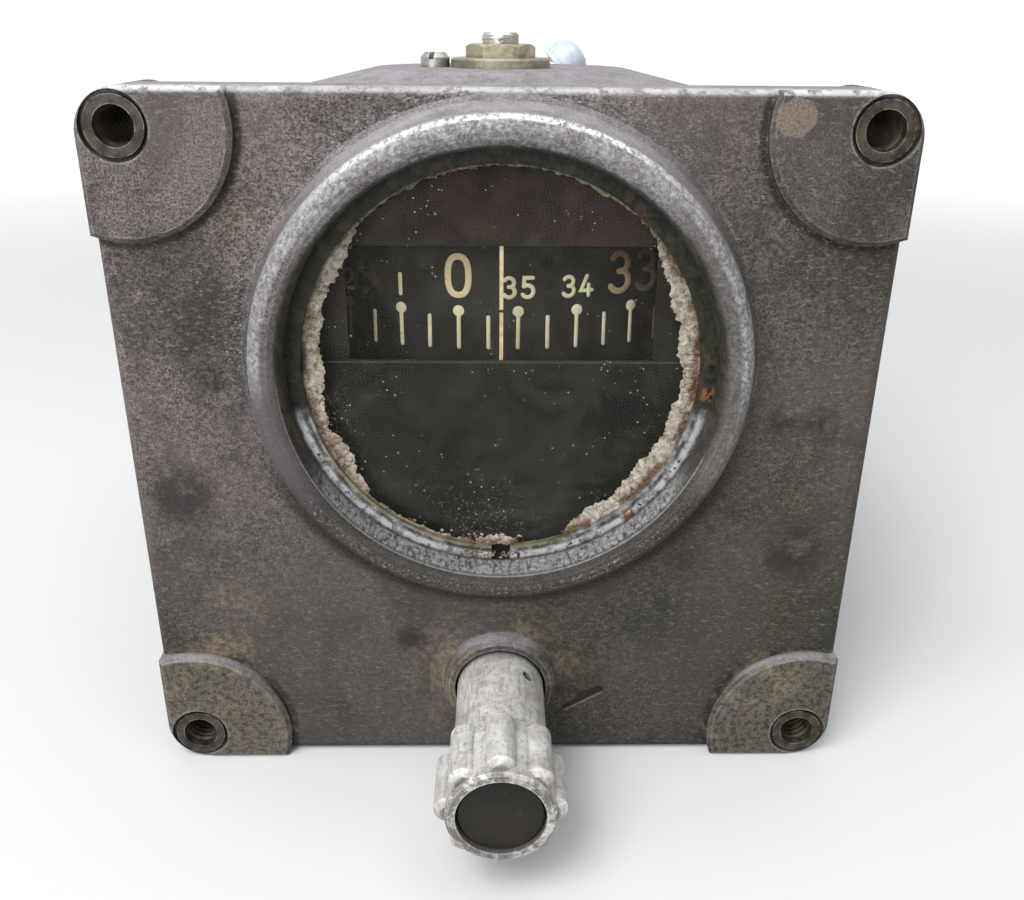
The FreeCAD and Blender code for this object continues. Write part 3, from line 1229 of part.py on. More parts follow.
def guide_posts():
    group = []
    for angle in POST_ANGLES:
        x, y = polar(POST_RING_RADIUS, angle)
        group.append(rod_z(POST_RADIUS, CAVITY_BOTTOM, CAVITY_BOTTOM + POST_HEIGHT, x, AXIS_Y + y))
    return Part.makeCompound(group)


NODES = [
    main_case,
    mounting_inserts,
    window_glass,
    window_gasket,
    window_mask,
    lubber_line,
    retaining_ring,
    cover_gasket,
    rear_cover,
    cover_screws,
    air_filter,
    filter_ring,
    upper_bearing,
    lower_bearing,
    lower_bearing_cap,
    bearing_cover,
    lock_nut,
    pivot_stud,
    crown_screws,
    suction_port,
    port_cap,
    vertical_gimbal,
    air_nozzles,
    gimbal_pivots,
    azimuth_card,
    card_spider,
    card_screws,
    synchroniser_gear,
    rotor_case,
    rotor_case_cover,
    rotor_bearings,
    tilt_bearings,
    balance_weights,
    rotor,
    rotor_shaft,
    caging_knob,
    knob_set_screw,
    knob_insert,
    caging_shaft,
    caging_pinion,
    shaft_bush,
    shift_frame,
    caging_yoke,
    guide_posts,
]

os.makedirs("parts", exist_ok=True)
for make in NODES:
    shape = make()
    shape.exportStep(f"parts/{make.__name__}.step")
    facets = shape.tessellate(0.1)[1]
    print(make.__name__, len(shape.Solids), shape.isValid(), round(shape.Volume), len(facets))
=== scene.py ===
"""Looks of the directional gyro: materials, card markings, sealant, threads, floor and lights."""
import json
import math
import random
from functools import cached_property

import bpy
from mathutils import Matrix, Vector


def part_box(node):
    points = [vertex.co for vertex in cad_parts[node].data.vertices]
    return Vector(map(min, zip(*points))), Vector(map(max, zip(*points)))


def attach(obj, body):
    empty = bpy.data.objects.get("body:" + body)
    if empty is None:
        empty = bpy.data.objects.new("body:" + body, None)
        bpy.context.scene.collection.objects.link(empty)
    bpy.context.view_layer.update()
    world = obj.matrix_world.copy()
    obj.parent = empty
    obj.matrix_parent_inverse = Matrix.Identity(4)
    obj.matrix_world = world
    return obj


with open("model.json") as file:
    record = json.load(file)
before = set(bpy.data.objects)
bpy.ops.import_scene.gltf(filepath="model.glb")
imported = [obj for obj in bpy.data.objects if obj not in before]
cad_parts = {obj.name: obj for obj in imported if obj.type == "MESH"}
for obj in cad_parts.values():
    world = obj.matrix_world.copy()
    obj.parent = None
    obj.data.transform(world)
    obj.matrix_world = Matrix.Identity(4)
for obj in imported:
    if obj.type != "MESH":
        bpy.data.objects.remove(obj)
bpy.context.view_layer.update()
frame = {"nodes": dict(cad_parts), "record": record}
NODES = frame["nodes"]
MM = 0.001

# Places on the object, in millimetres, as the source has them
WINDOW_Z = 18.8
GLASS_FRONT = 1.3
RING_FRONT = 0.1
AXIS_Y = 73.0
CARD_RADIUS = 61.5
KNOB_X = 0.0
KNOB_Z = -46.0
SLOT_BOTTOM = 18.6
FLOOR_Z = -64.3
PAD_CENTRE_X = 60.3
PAD_CENTRE_Z = 58.4
INSERT_BORE = 3.25
STUD_RADIUS = 3.98

# Places of the colour sockets on the Mix node
MIX_A = 6
MIX_B = 7
MIX_RESULT = 2


# Node materials

class Tree:
    """A node tree being made. Its methods add nodes and return their output sockets."""

    def __init__(self, tree):
        self.nodes = tree.nodes
        self.links = tree.links

    def put(self, socket, value):
        if isinstance(value, bpy.types.NodeSocket):
            self.links.new(value, socket)
        else:
            socket.default_value = value

    def node(self, kind, *values, settings=None, **inputs):
        """A new node with its inputs, in order or by name, and its settings."""
        node = self.nodes.new("ShaderNode" + kind)
        for name, value in (settings or {}).items():
            setattr(node, name, value)
        for socket, value in zip(node.inputs, values):
            self.put(socket, value)
        for name, value in inputs.items():
            self.put(node.inputs[name], value)
        return node

    def math(self, kind, a, b=0.0, clamp=False):
        return self.node("Math", a, b, settings={"operation": kind, "use_clamp": clamp}).outputs[0]

    def either(self, *values):
        out = values[0]
        for value in values[1:]:
            out = self.math("MAXIMUM", out, value)
        return out

    def seen(self):
        """1 for what the camera, mirrors and glass see, 0 for light that a surface sends on."""
        path = self.node("LightPath").outputs
        return self.either(path["Is Camera Ray"], path["Is Glossy Ray"], path["Is Transmission Ray"])


class Shade(Tree):
    """The tree of a new material. Places on the object are in metres, distances in millimetres."""

    def __init__(self, name):
        self.mat = bpy.data.materials.new(name)
        self.mat.use_nodes = True
        super().__init__(self.mat.node_tree)
        self.bsdf = next(n for n in self.nodes if n.type == "BSDF_PRINCIPLED")
        self.place = self.node("TexCoord").outputs["Object"]
        self.facing = self.node("NewGeometry").outputs["Normal"]
        self.x, self.y, self.z = self.node("SeparateXYZ", self.place).outputs

    @cached_property
    def radius(self):
        """Distance from the window's axis."""
        return self.distance((0, 0, WINDOW_Z), (1, 0, 1))

    @cached_property
    def turn(self):
        """Angle in degrees round the window's centre: 0 to the right, 90 at the top."""
        turn = self.math("ARCTAN2", self.minus(self.z, WINDOW_Z * MM), self.x)
        return self.math("FLOORED_MODULO", self.both(turn, 180 / math.pi), 360.0)

    def vector(self, operation, *values, **inputs):
        return self.node("VectorMath", *values, settings={"operation": operation}, **inputs)

    def stretched(self, scale, turn=(0, 0, 0)):
        return self.node("Mapping", Vector=self.place, Scale=scale, Rotation=turn).outputs["Vector"]

    def noise(self, scale, detail=3.0, rough=0.55, twist=0.0, at=None):
        node = self.node("TexNoise", Vector=at or self.place, Scale=scale, Detail=detail, Roughness=rough,
                         Distortion=twist)
        return node.outputs["Fac"]

    def cells(self, scale, feature="F1"):
        node = self.node("TexVoronoi", Vector=self.place, Scale=scale, settings={"feature": feature})
        return node.outputs["Distance"]

    def waves(self, scale, axis, twist):
        node = self.node("TexWave", Vector=self.place, Scale=scale, Distortion=twist,
                         settings={"bands_direction": axis})
        return node.outputs["Fac"]

    def plus(self, a, b, clamp=False):
        return self.math("ADD", a, b, clamp)

    def minus(self, a, b):
        return self.math("SUBTRACT", a, b)

    def both(self, *values):
        out = values[0]
        for value in values[1:]:
            out = self.math("MULTIPLY", out, value)
        return out

    def span(self, value, low, high, to_low=0.0, to_high=1.0):
        """A value eased from low and high to to_low and to_high."""
        node = self.node("MapRange", value, low, high, to_low, to_high,
                         settings={"interpolation_type": "SMOOTHSTEP"})
        return node.outputs["Result"]

    def mix(self, share, a, b):
        node = self.node("Mix", share, settings={"data_type": "RGBA"})
        for socket, color in ((MIX_A, a), (MIX_B, b)):
            self.put(node.inputs[socket], (*color, 1) if isinstance(color, tuple) else color)
        return node.outputs[MIX_RESULT]

    def coat(self, color, *masks):
        """Lays a colour on the material's colour so far, where all the masks are 1."""
        self.color = self.mix(self.both(*masks), self.color, color)

    def tones(self, value, low, high, start, end):
        """A blend of two colours: start while a value lies under low, end above high."""
        return self.mix(self.span(value, low, high), start, end)

    def patches(self, scale, detail, rough, low, high):
        """Patches of noise: 0 where it lies under low, 1 where it lies above high."""
        return self.span(self.noise(scale, detail, rough), low, high)

    def distance(self, centre, keep=(1, 1, 1)):
        """Distance from a point in millimetres, along the axes that keep names."""
        flat = self.vector("MULTIPLY", self.place, tuple(k / MM for k in keep)).outputs[0]
        return self.vector("DISTANCE", flat, tuple(c * k for c, k in zip(centre, keep))).outputs["Value"]

    def up(self):
        """How far a face looks up, from -1 to 1."""
        return self.node("SeparateXYZ", self.facing).outputs["Z"]

    def edge(self, radius):
        """1 on corners and edges that stand out, 0 on flat faces, within a radius in millimetres."""
        bevel = self.node("Bevel", Radius=radius * MM, settings={"samples": 4})
        straight = self.vector("DOT_PRODUCT", bevel.outputs[0], self.facing).outputs["Value"]
        turned = self.span(self.minus(1.0, straight), 0.02, 0.2)
        return self.both(turned, self.open_air(radius * 2, 0.55, 0.8))

    def open_air(self, reach, low=0.45, high=0.85):
        """0 in corners and grooves, 1 in the open, within a reach in millimetres."""
        node = self.node("AmbientOcclusion", Distance=reach * MM, settings={"samples": 6})
        return self.span(node.outputs["AO"], low, high)

    def hollow(self, reach, low=0.45, high=0.85):
        """1 in corners and grooves, 0 in the open."""
        return self.minus(1.0, self.open_air(reach, low, high))

    def bump(self, height, distance, strength=1.0):
        node = self.node("Bump", Strength=strength, Distance=distance * MM, Height=height)
        return node.outputs["Normal"]

    def streak(self, start, end, wide, soft=0.5):
        """1 along a straight mark on the front, from start to end as (x, z) in millimetres."""
        run = Vector(end) - Vector(start)
        along = (run.x / run.length_squared, 0, run.y / run.length_squared)
        to_mm = (1 / MM, 0, 1 / MM)
        flat = self.vector("MULTIPLY_ADD", self.place, to_mm, (-start[0], 0, -start[1])).outputs[0]
        share = self.math("MINIMUM", self.vector("DOT_PRODUCT", flat, along).outputs["Value"], 1.0)
        foot = self.vector("SCALE", (run.x, 0, run.y), Scale=self.math("MAXIMUM", share, 0.0)).outputs[0]
        gap = self.vector("DISTANCE", flat, foot).outputs["Value"]
        return self.span(gap, wide + soft, wide)

    def spot(self, x, z, reach, core=0.0):
        """1 at a place on the front, falling to 0 at a reach in millimetres."""
        return self.span(self.distance((x, 0, z), (1, 0, 1)), reach, core)

    def band(self, value, low, high, soft):
        """1 while a value lies from low to high, falling off over soft on both sides."""
        return self.both(self.span(value, low - soft, low), self.span(value, high + soft, high))

    def ring(self, low, high, soft):
        """1 in a ring round the window's axis, falling off over soft on both sides."""
        return self.band(self.radius, low, high, soft)

    def sector(self, centre, half, soft):
        """1 within a half angle each side of a centre angle, in degrees, falling off over soft."""
        shifted = self.math("FLOORED_MODULO", self.minus(self.turn, centre - 180), 360.0)
        gap = self.math("ABSOLUTE", self.minus(shifted, 180.0))
        return self.span(gap, half + soft, half)

    def finish(self, roughness, normal=None, metallic=0.0, gloss=0.5):
        ports = self.bsdf.inputs
        self.put(ports["Base Color"], self.color)
        self.put(ports["Roughness"], roughness)
        self.put(ports["Metallic"], metallic)
        ports["Specular IOR Level"].default_value = gloss
        if normal is not None:
            self.put(ports["Normal"], normal)
        return self.mat


class CastingShade(Shade):
    """The casting's shader, with the places and grains that the layers of its paint share."""

    def __init__(self):
        super().__init__("cast_paint")
        self.front = self.span(self.y, 0.0125, 0.0045)
        self.grain = self.noise(2700, 5, 0.72)
        self.streaky = self.noise(3300, 4, 0.66, at=self.stretched((0.5, 0.8, 1.15), (0, 0.3, 0)))
        self.medium = self.noise(900, 4, 0.62)
        self.clump = self.noise(330, 4, 0.6)
        self.rubbed = self.noise(1500, 5, 0.7, at=self.stretched((1, 0.3, 1)))
        # Lighter and more purple towards the top and left: the paint's change of tone, with painted light
        # from the upper left.
        right = self.both(self.span(self.x, 0.03, -0.06), 0.4)
        self.tint = self.plus(self.both(self.span(self.z, -0.03, 0.05), 0.6), right)
        across = self.minus(self.math("ABSOLUTE", self.x), PAD_CENTRE_X * MM)
        along = self.minus(self.math("ABSOLUTE", self.z), PAD_CENTRE_Z * MM)
        squares = self.plus(self.both(across, across), self.both(along, along))
        self.from_pad = self.math("SQRT", squares)
        self.on_ring = self.span(self.y, 0.0012, -0.0016)
        self.bead = self.both(self.ring(38.0, 42.0, 0.8), self.on_ring)


def casting_ground(s):
    """Speckled purple-grey and green-grey paint, clouded; lighter towards the top and left as painted light,
    and darker low down and to the right as painted shade.
    """
    patch = s.noise(70, 5, 0.62, 0.5)
    cloud = s.noise(21, 3, 0.55)
    light = s.mix(s.tint, (0.156, 0.148, 0.118), (0.262, 0.214, 0.212))
    s.color = s.tones(s.grain, 0.37, 0.62, (0.03, 0.026, 0.024), light)
    s.coat((0.03, 0.027, 0.023), s.span(s.medium, 0.52, 0.4), 0.45)
    warm = s.both(s.spot(-42, 50, 16, 3), s.patches(110, 5, 0.66, 0.44, 0.6), 0.55)
    s.coat(s.tones(s.grain, 0.42, 0.6, (0.085, 0.064, 0.045), (0.34, 0.275, 0.2)), warm)
    s.coat((0.026, 0.028, 0.022), s.span(patch, 0.54, 0.38), 0.55)
    s.coat((0.16, 0.13, 0.13), s.span(cloud, 0.44, 0.6), 0.36)
    s.coat((0.02, 0.021, 0.016), s.span(cloud, 0.49, 0.37), 0.55)
    # Painted shade: darker low down and to the right, away from the light.
    s.coat((0.022, 0.021, 0.015), s.span(s.z, 0.012, -0.045), s.front, 0.46)
    s.coat((0.024, 0.022, 0.015), s.span(s.x, 0.015, 0.058), s.front, 0.42)


def casting_pad_roots(s):
    """Shadowed roots of the corner pads, with ochre dirt under the lower ones' arcs."""
    root = s.both(s.band(s.from_pad, 0.0181, 0.019, 0.0009), s.span(s.y, 0.001, 0.0018), s.front)
    s.coat((0.011, 0.01, 0.008), root, s.span(s.z, -0.02, 0.02, 0.5, 0.8))
    ochre = s.both(s.band(s.from_pad, 0.0165, 0.0184, 0.0014), s.front, s.span(s.clump, 0.5, 0.6),
                   s.span(s.z, 0.048, 0.03), 0.36)
    s.coat((0.25, 0.215, 0.135), ochre)


def casting_speckle(s):
    """Fine light streaks, and bright grains that are partly painted highlights on the crinkles, commoner
    towards the top.
    """
    slanting = s.noise(1250, 4, 0.68, at=s.stretched((0.45, 0.8, 1.2), (0, 0.25, 0)))
    streak_tone = s.mix(s.tint, (0.165, 0.16, 0.145), (0.245, 0.215, 0.215))
    s.coat(streak_tone, s.span(slanting, 0.54, 0.66), 0.55)
    # Bright grains, commoner towards the top: the crinkles' own light specks with painted highlights.
    upward = s.span(s.z, -0.03, 0.045, 0.35, 1.0)
    sparks = s.both(s.span(s.streaky, 0.59, 0.68), s.span(s.clump, 0.45, 0.66), upward)
    spark_tone = s.tones(s.clump, 0.54, 0.6, (0.46, 0.42, 0.39), (0.44, 0.37, 0.26))
    s.coat(spark_tone, sparks, 0.85)


# Tan dirt on the casting's front as x, z, reach, core and share, and dark blots as x, z, reach, core
TAN_SPOTS = [
    (53.3, -47.5, 9.5, 3, 0.9),
    (-53.9, -40.5, 9, 2, 0.8),
    (-51, -30, 9, 2, 0.55),
    (KNOB_X, KNOB_Z, 22, 11, 0.55),
    (-61, -54, 15, 6, 0.6),
]
BLOTS = [(50.5, 9, 4.5, 1), (56.9, 8, 5, 1), (-49, 14, 8, 1), (-17.3, -37.4, 5, 1), (55, -18, 9, 2),
         (-58, -6, 10, 2)]


def casting_dirt(s):
    """Dust and old lubricant round the knob's boss, on the lower pads and at the left; dark blots."""
    tan = s.either(*(s.both(s.spot(*place), share) for *place, share in TAN_SPOTS))
    tan = s.both(tan, s.front, s.patches(140, 5, 0.68, 0.42, 0.6))
    tan_tone = s.tones(s.medium, 0.4, 0.6, (0.12, 0.092, 0.062), (0.29, 0.225, 0.145))
    s.coat(tan_tone, tan, 0.62)
    pads = s.both(s.span(s.from_pad, 0.0186, 0.0168), s.front, s.span(s.z, -0.03, -0.04),
                  s.span(s.medium, 0.34, 0.58))
    pad_dust = s.tones(s.grain, 0.35, 0.62, (0.085, 0.072, 0.056), (0.29, 0.25, 0.205))
    s.coat(pad_dust, pads, 0.42)
    blots = s.either(*(s.spot(*place) for place in BLOTS))
    s.coat((0.017, 0.015, 0.015), blots, s.front, s.patches(230, 4, 0.55, 0.36, 0.58), 0.75)


def casting_scars(s):
    """A patch without paint on the upper right pad, and a gash right of the knob drawn as a painted shadow
    with a painted highlight along its lower side.
    """
    ragged = s.both(s.noise(190, 4, 0.6), 2.6)
    bare = s.span(s.plus(s.distance((45.6, 0, 60.3), (1, 0, 1)), ragged), 4.6, 4.2)
    bare = s.both(bare, s.span(s.y, 0.0018, 0.001), s.patches(620, 5, 0.7, 0.32, 0.44))
    bare_tone = s.tones(s.grain, 0.4, 0.6, (0.155, 0.112, 0.09), (0.275, 0.218, 0.185))
    s.coat(bare_tone, bare, 0.85)
    # Painted shadow inside the gash, then a painted highlight along its lower lip.
    gash_shadow = s.either(s.streak((13.0, -53.4), (19.8, -49.3), 0.25, 0.6),
                         s.streak((16.2, -50.6), (19.8, -49.2), 0.5, 0.8))
    s.coat((0.01, 0.009, 0.009), gash_shadow, s.front, 0.85)
    gash_highlight = s.streak((13.2, -54.1), (20.4, -49.9), 0.05, 0.3)
    s.coat((0.27, 0.25, 0.22), gash_highlight, s.front, 0.5)


def casting_ring_dirt(s):
    """Painted shadow under the window ring, painted shade on the lower half of its bead and in the window's
    bore, and a dull stretch at its left.
    """
    # Painted shadow under the lower half of the window ring's bead.
    s.coat((0.012, 0.01, 0.008), s.ring(43.5, 46.0, 2.6), s.front, s.sector(272, 44, 26), 0.86)
    # Painted shade in the window's bore, brownish in patches.
    bore = s.both(s.span(s.radius, 38.6, 37.6), s.span(s.y, 0.003, 0.0018), 0.85)
    s.coat(s.tones(s.clump, 0.45, 0.6, (0.014, 0.013, 0.01), (0.05, 0.04, 0.026)), bore)
    s.coat((0.115, 0.1, 0.108), s.bead, s.sector(195, 18, 8), 0.7)
    shaded = s.both(s.ring(37.5, 46.5, 1.5), s.front, s.sector(270, 52, 22), 0.68)
    shaded_tone = s.tones(s.grain, 0.4, 0.62, (0.014, 0.013, 0.011), (0.062, 0.056, 0.052))
    s.coat(shaded_tone, shaded)


def casting_wear(s):
    """Where the paint is worn to metal, with painted light on the ring's upper half and painted highlights,
    and the metal's colour: the window ring and every outer edge.
    """
    ring_grain = s.patches(2100, 6, 0.78, 0.34, 0.62)
    broad = s.patches(150, 4, 0.62, 0.3, 0.6)
    # Bare metal only over the bead's upper half: worn paint, and painted light where the bead faces the
    # light from above.
    left_share = s.both(s.sector(90, 84, 16), 0.82)
    upper = s.plus(left_share, s.both(s.sector(350, 12, 12), 0.35), True)
    worn = s.both(s.bead, upper, s.plus(s.both(ring_grain, 0.65), s.both(broad, 0.42), True))
    outer_half = s.span(s.radius, 39.2, 40.5)
    worn = s.both(worn, s.either(outer_half, s.both(s.sector(95, 40, 25), 0.85), 0.22))
    low_streaks = s.both(s.ring(39.4, 41.0, 0.4), s.on_ring, s.sector(272, 56, 8),
                         s.span(s.rubbed, 0.52, 0.66), 0.5)
    # Painted highlight along the outer shoulder of the bead's top.
    rim_highlight = s.both(s.ring(41.7, 42.1, 0.5), s.on_ring, s.sector(92, 26, 40),
                         s.span(s.rubbed, 0.34, 0.56))
    # Painted highlight on the crest of the lip low down.
    lip = s.both(s.ring(36.9, 37.5, 0.25), s.span(s.y, -0.005, -0.0056),
                 s.sector(260, 76, 6), s.span(s.rubbed, 0.3, 0.44))
    # Painted highlight on the up-facing side of the bore low down, streaked like rubbed metal.
    wall = s.both(s.span(s.radius, 38.0, 37.4), s.band(s.y, -0.0045, -0.0008, 0.0008),
                  s.sector(270, 52, 14), s.span(s.rubbed, 0.36, 0.54), 0.6)
    # Lighter metal at the ring's foot over the upper left: a painted highlight, streaked like rubbing.
    foot = s.both(s.ring(44.2, 46.0, 4.0), s.front, s.sector(118, 50, 35),
                  s.span(s.streaky, 0.5, 0.64), 0.5)
    edges = s.both(s.edge(0.9), s.patches(420, 5, 0.7, 0.36, 0.58), 0.8)
    # Painted highlight along the flange's top front edge, with worn paint in patches.
    top_edge = s.both(s.span(s.z, 0.063, 0.064), s.span(s.y, 0.005, 0.0035),
                      s.patches(500, 5, 0.7, 0.36, 0.52))
    wear_and_highlights = s.either(worn, low_streaks, rim_highlight, lip, wall, foot, edges, top_edge)
    tone = s.mix(s.patches(1300, 4, 0.55, 0.35, 0.65), (0.225, 0.225, 0.232), (0.5, 0.5, 0.515))
    # The painted highlights are near white.
    painted_highlights = s.either(rim_highlight, lip, s.both(top_edge, 0.7))
    return wear_and_highlights, s.mix(painted_highlights, tone, (0.8, 0.8, 0.79))


def casting_dust(s):
    """Pale dust on what faces up, and dark dirt with painted shade in every corner."""
    thick = s.plus(s.both(s.patches(260, 5, 0.66, 0.3, 0.62), 0.5), 0.5)
    lifted = s.both(s.span(s.up(), 0.45, 0.92), thick)
    lifted = s.both(lifted, s.either(s.span(s.radius, 41.5, 43.0), s.span(s.y, 0.0018, 0.0026)))
    dust_tone = s.tones(s.grain, 0.35, 0.65, (0.25, 0.236, 0.252), (0.4, 0.382, 0.41))
    s.coat(dust_tone, lifted, 0.86)
    # Dark dirt and painted shade in every corner and groove.
    corner_tone = s.tones(s.clump, 0.45, 0.6, (0.015, 0.013, 0.012), (0.07, 0.049, 0.028))
    s.coat(corner_tone, s.hollow(2.2, 0.35, 0.75), 0.75)


def cast_paint():
    """Crinkled dark paint on a casting: speckled, worn to metal on the window ring, with painted light,
    shade and highlights, dusty low down.
    """
    s = CastingShade()
    casting_ground(s)
    casting_pad_roots(s)
    casting_speckle(s)
    casting_dirt(s)
    casting_scars(s)
    casting_ring_dirt(s)
    wear_and_highlights, metal_tone = casting_wear(s)
    s.coat(metal_tone, wear_and_highlights)
    casting_dust(s)
    rough = s.minus(s.span(s.grain, 0.3, 0.7, 0.6, 0.86), s.both(wear_and_highlights, 0.22))
    relief = s.plus(s.both(s.grain, 0.7), s.plus(s.both(s.medium, 0.7), s.both(s.clump, 0.8)))
    return s.finish(rough, s.bump(relief, 0.24, 0.9), s.both(wear_and_highlights, 0.35), gloss=0.22)


def scaled(color, factor, extra=0.0):
    return tuple(min(1.0, c * factor + extra) for c in color)


def metal(name, light, dark, rough, stain=None, stain_share=0.4, shine=1.0, edge=0.5, relief=0.05):
    """Worn bare metal: two tones, stains in its hollows, brighter edges and a fine surface."""
    s = Shade(name)
    tone = s.noise(150, 5, 0.62)
    fine = s.noise(900, 4, 0.6)
    s.color = s.tones(tone, 0.34, 0.66, dark, light)
    s.coat(scaled(light, 1.35), s.span(fine, 0.56, 0.72), 0.4)
    if stain:
        where = s.either(s.patches(100, 5, 0.68, 0.52, 0.66), s.hollow(1.2))
        s.coat(stain, where, stain_share)
    s.coat(scaled(light, 1.5), s.edge(0.35), s.span(fine, 0.35, 0.6), edge)
    normal = s.bump(s.plus(fine, s.both(tone, 0.8)), relief, 0.7)
    roughness = s.span(s.noise(450, 4, 0.65), 0.3, 0.7, rough - 0.12, rough + 0.14)
    return s.finish(roughness, normal, metallic=shine)


def knob_metal():
    """Bare cast knob, handled until its paint is gone: chalky grey, mottled, with dirt and painted shade in
    its flutes, painted shade low down and painted highlights on its edges.
    """
    s = Shade("knob_worn")
    big = s.noise(130, 5, 0.66, 0.4)
    long_marks = s.noise(1500, 5, 0.72, at=s.stretched((1, 0.16, 1)))
    mottle = s.noise(1100, 6, 0.78)
    fine = s.noise(2600, 3, 0.6)
    s.color = s.tones(big, 0.32, 0.62, (0.44, 0.42, 0.395), (0.69, 0.68, 0.665))
    s.coat((0.205, 0.19, 0.172), s.span(mottle, 0.5, 0.38), 0.46)
    s.coat((0.235, 0.218, 0.198), s.span(long_marks, 0.5, 0.36), 0.5)
    s.coat((0.82, 0.81, 0.8), s.span(mottle, 0.56, 0.7), 0.6)
    s.coat((0.33, 0.265, 0.19), s.span(s.noise(75, 4), 0.52, 0.66), 0.36)
    # Painted shade: darker towards the knob's underside.
    s.coat((0.07, 0.062, 0.055), s.span(s.z, -0.048, -0.058), s.span(mottle, 0.4, 0.58), 0.7)
    ends = s.span(s.y, -0.0345, -0.0362)
    s.coat((0.075, 0.068, 0.06), ends, s.patches(330, 5, 0.7, 0.4, 0.56), 0.8)
    # Dark brown dirt and painted shade in the flutes.
    s.coat((0.06, 0.05, 0.04), s.hollow(2.0, 0.45, 0.92), 0.85)
    # Painted highlights on the lobes' edges.
    s.coat((0.74, 0.74, 0.74), s.edge(0.5), s.span(mottle, 0.35, 0.55), 0.75)
    normal = s.bump(s.plus(s.both(mottle, 1.0), s.both(fine, 0.4)), 0.18, 0.8)
    return s.finish(s.span(mottle, 0.35, 0.65, 0.44, 0.7), normal, metallic=0.25)


def plain_paint(name, color, dust, rough, vary=0.25, grain=1400, relief=0.03):
    """Matt paint or rubber with slight changes of tone, dust in patches and a fine surface."""
    s = Shade(name)
    patch = s.noise(grain / 16, 5, 0.62)
    fine = s.noise(grain, 4, 0.6)
    s.color = s.tones(patch, 0.35, 0.65, scaled(color, 1 - vary), scaled(color, 1 + vary))
    specks = s.either(s.both(s.span(fine, 0.6, 0.72), 0.5), s.both(s.span(patch, 0.5, 0.75), 0.35))
    s.coat(dust, specks)
    s.coat(scaled(color, 1.8, 0.02), s.edge(0.3), 0.25)
    roughness = s.span(fine, 0.3, 0.7, rough - 0.1, rough + 0.12)
    return s.finish(roughness, s.bump(fine, relief, 0.6), gloss=0.22)


def mask_paint():
    """The mask behind the glass: brown-black above its slot, green-black below, with old stains and a
    painted highlight on the slot's lower edge.
    """
    s = Shade("mask_paint")
    upper = s.span(s.z, 0.014, 0.044)
    blot = s.noise(85, 5, 0.6, 0.8)
    blot_tone = s.mix(upper, (0.009, 0.01, 0.007), (0.025, 0.015, 0.014))
    s.color = s.mix(upper, (0.024, 0.025, 0.019), (0.046, 0.029, 0.026))
    s.coat(blot_tone, s.span(blot, 0.38, 0.62))
    deep = s.span(s.distance((19, 0, 11), (0.7, 0, 1.4)), 14, 4)
    s.coat((0.007, 0.007, 0.007), deep, s.span(blot, 0.4, 0.55), 0.8)
    s.coat((0.12, 0.105, 0.085), s.span(s.noise(2300, 3), 0.64, 0.72), 0.22)
    # Painted highlight on the slot's lower edge.
    slot_edge_highlight = s.band(s.z, SLOT_BOTTOM * MM - 0.0002, SLOT_BOTTOM * MM, 0.0001)
    s.coat((0.15, 0.135, 0.11), slot_edge_highlight, 0.45)
    smear = s.span(s.noise(120, 5, 0.6, at=s.stretched((0.6, 1, 1.8), (0, 0.9, 0))), 0.54, 0.66)
    s.coat((0.085, 0.08, 0.066), smear, s.span(s.z, 0.017, 0.012), 0.16)
    return s.finish(0.85, s.bump(s.noise(1300, 3), 0.012, 0.4), gloss=0.25)


def card_paint():
    """The card's black ground, dusty and grey with a brown stain left of the first figure."""
    s = Shade("card_paint")
    dust = s.noise(160, 5, 0.6)
    s.color = s.tones(dust, 0.38, 0.66, (0.02, 0.018, 0.017), (0.042, 0.038, 0.034))
    stain = s.span(s.distance((-24.5, 17, 31), (1, 0, 0.8)), 4.2, 1.0)
    stain = s.both(stain, s.patches(480, 5, 0.7, 0.4, 0.58))
    s.coat((0.13, 0.095, 0.06), stain, 0.75)
    blot = s.span(s.distance((8.0, 12, 34.6), (1, 0, 1.2)), 2.0, 0.6)
    s.coat((0.004, 0.004, 0.004), blot, 0.8)
    s.coat((0.15, 0.13, 0.11), s.span(s.noise(2400, 2), 0.66, 0.74), 0.35)
    return s.finish(0.72, s.bump(s.noise(1500, 3), 0.02, 0.6), gloss=0.2)


def figure_paint(name, color, brown, share):
    """Old luminous paint: creamy, thick and a little dirty, browned by a share."""
    s = Shade(name)
    grain = s.noise(1900, 4, 0.65)
    patch = s.noise(330, 4, 0.6)
    s.color = s.tones(patch, 0.35, 0.65, scaled(color, 0.86), color)
    s.coat(scaled(color, 0.55), s.span(grain, 0.54, 0.7), 0.35)
    # Browner towards the figures' tops; on the half-shaded paint this is painted shade.
    rising = s.span(s.z, 0.029, 0.0365, share * 0.45, share)
    browned = s.plus(rising, s.span(patch, 0.45, 0.6, 0, 0.2 * share), True)
    s.coat(brown, browned)
    return s.finish(0.8, s.bump(grain, 0.05, 0.7))


def lubber_paint():
    """The cream line on its thin strip, with a worn dark nick in it."""
    s = Shade("lubber_paint")
    patch = s.noise(420, 5, 0.65)
    s.color = s.tones(patch, 0.38, 0.64, (0.8, 0.58, 0.34), (0.94, 0.8, 0.54))
    nick = s.both(s.span(s.z, 0.02715, 0.02735), s.span(s.z, 0.02785, 0.02765))
    scuffs = s.span(s.noise(1100, 3, at=s.stretched((1, 1, 0.35))), 0.66, 0.72)
    s.coat((0.03, 0.025, 0.02), s.either(nick, s.both(scuffs, 0.6)))
    return s.finish(0.75, s.bump(patch, 0.03, 0.6))


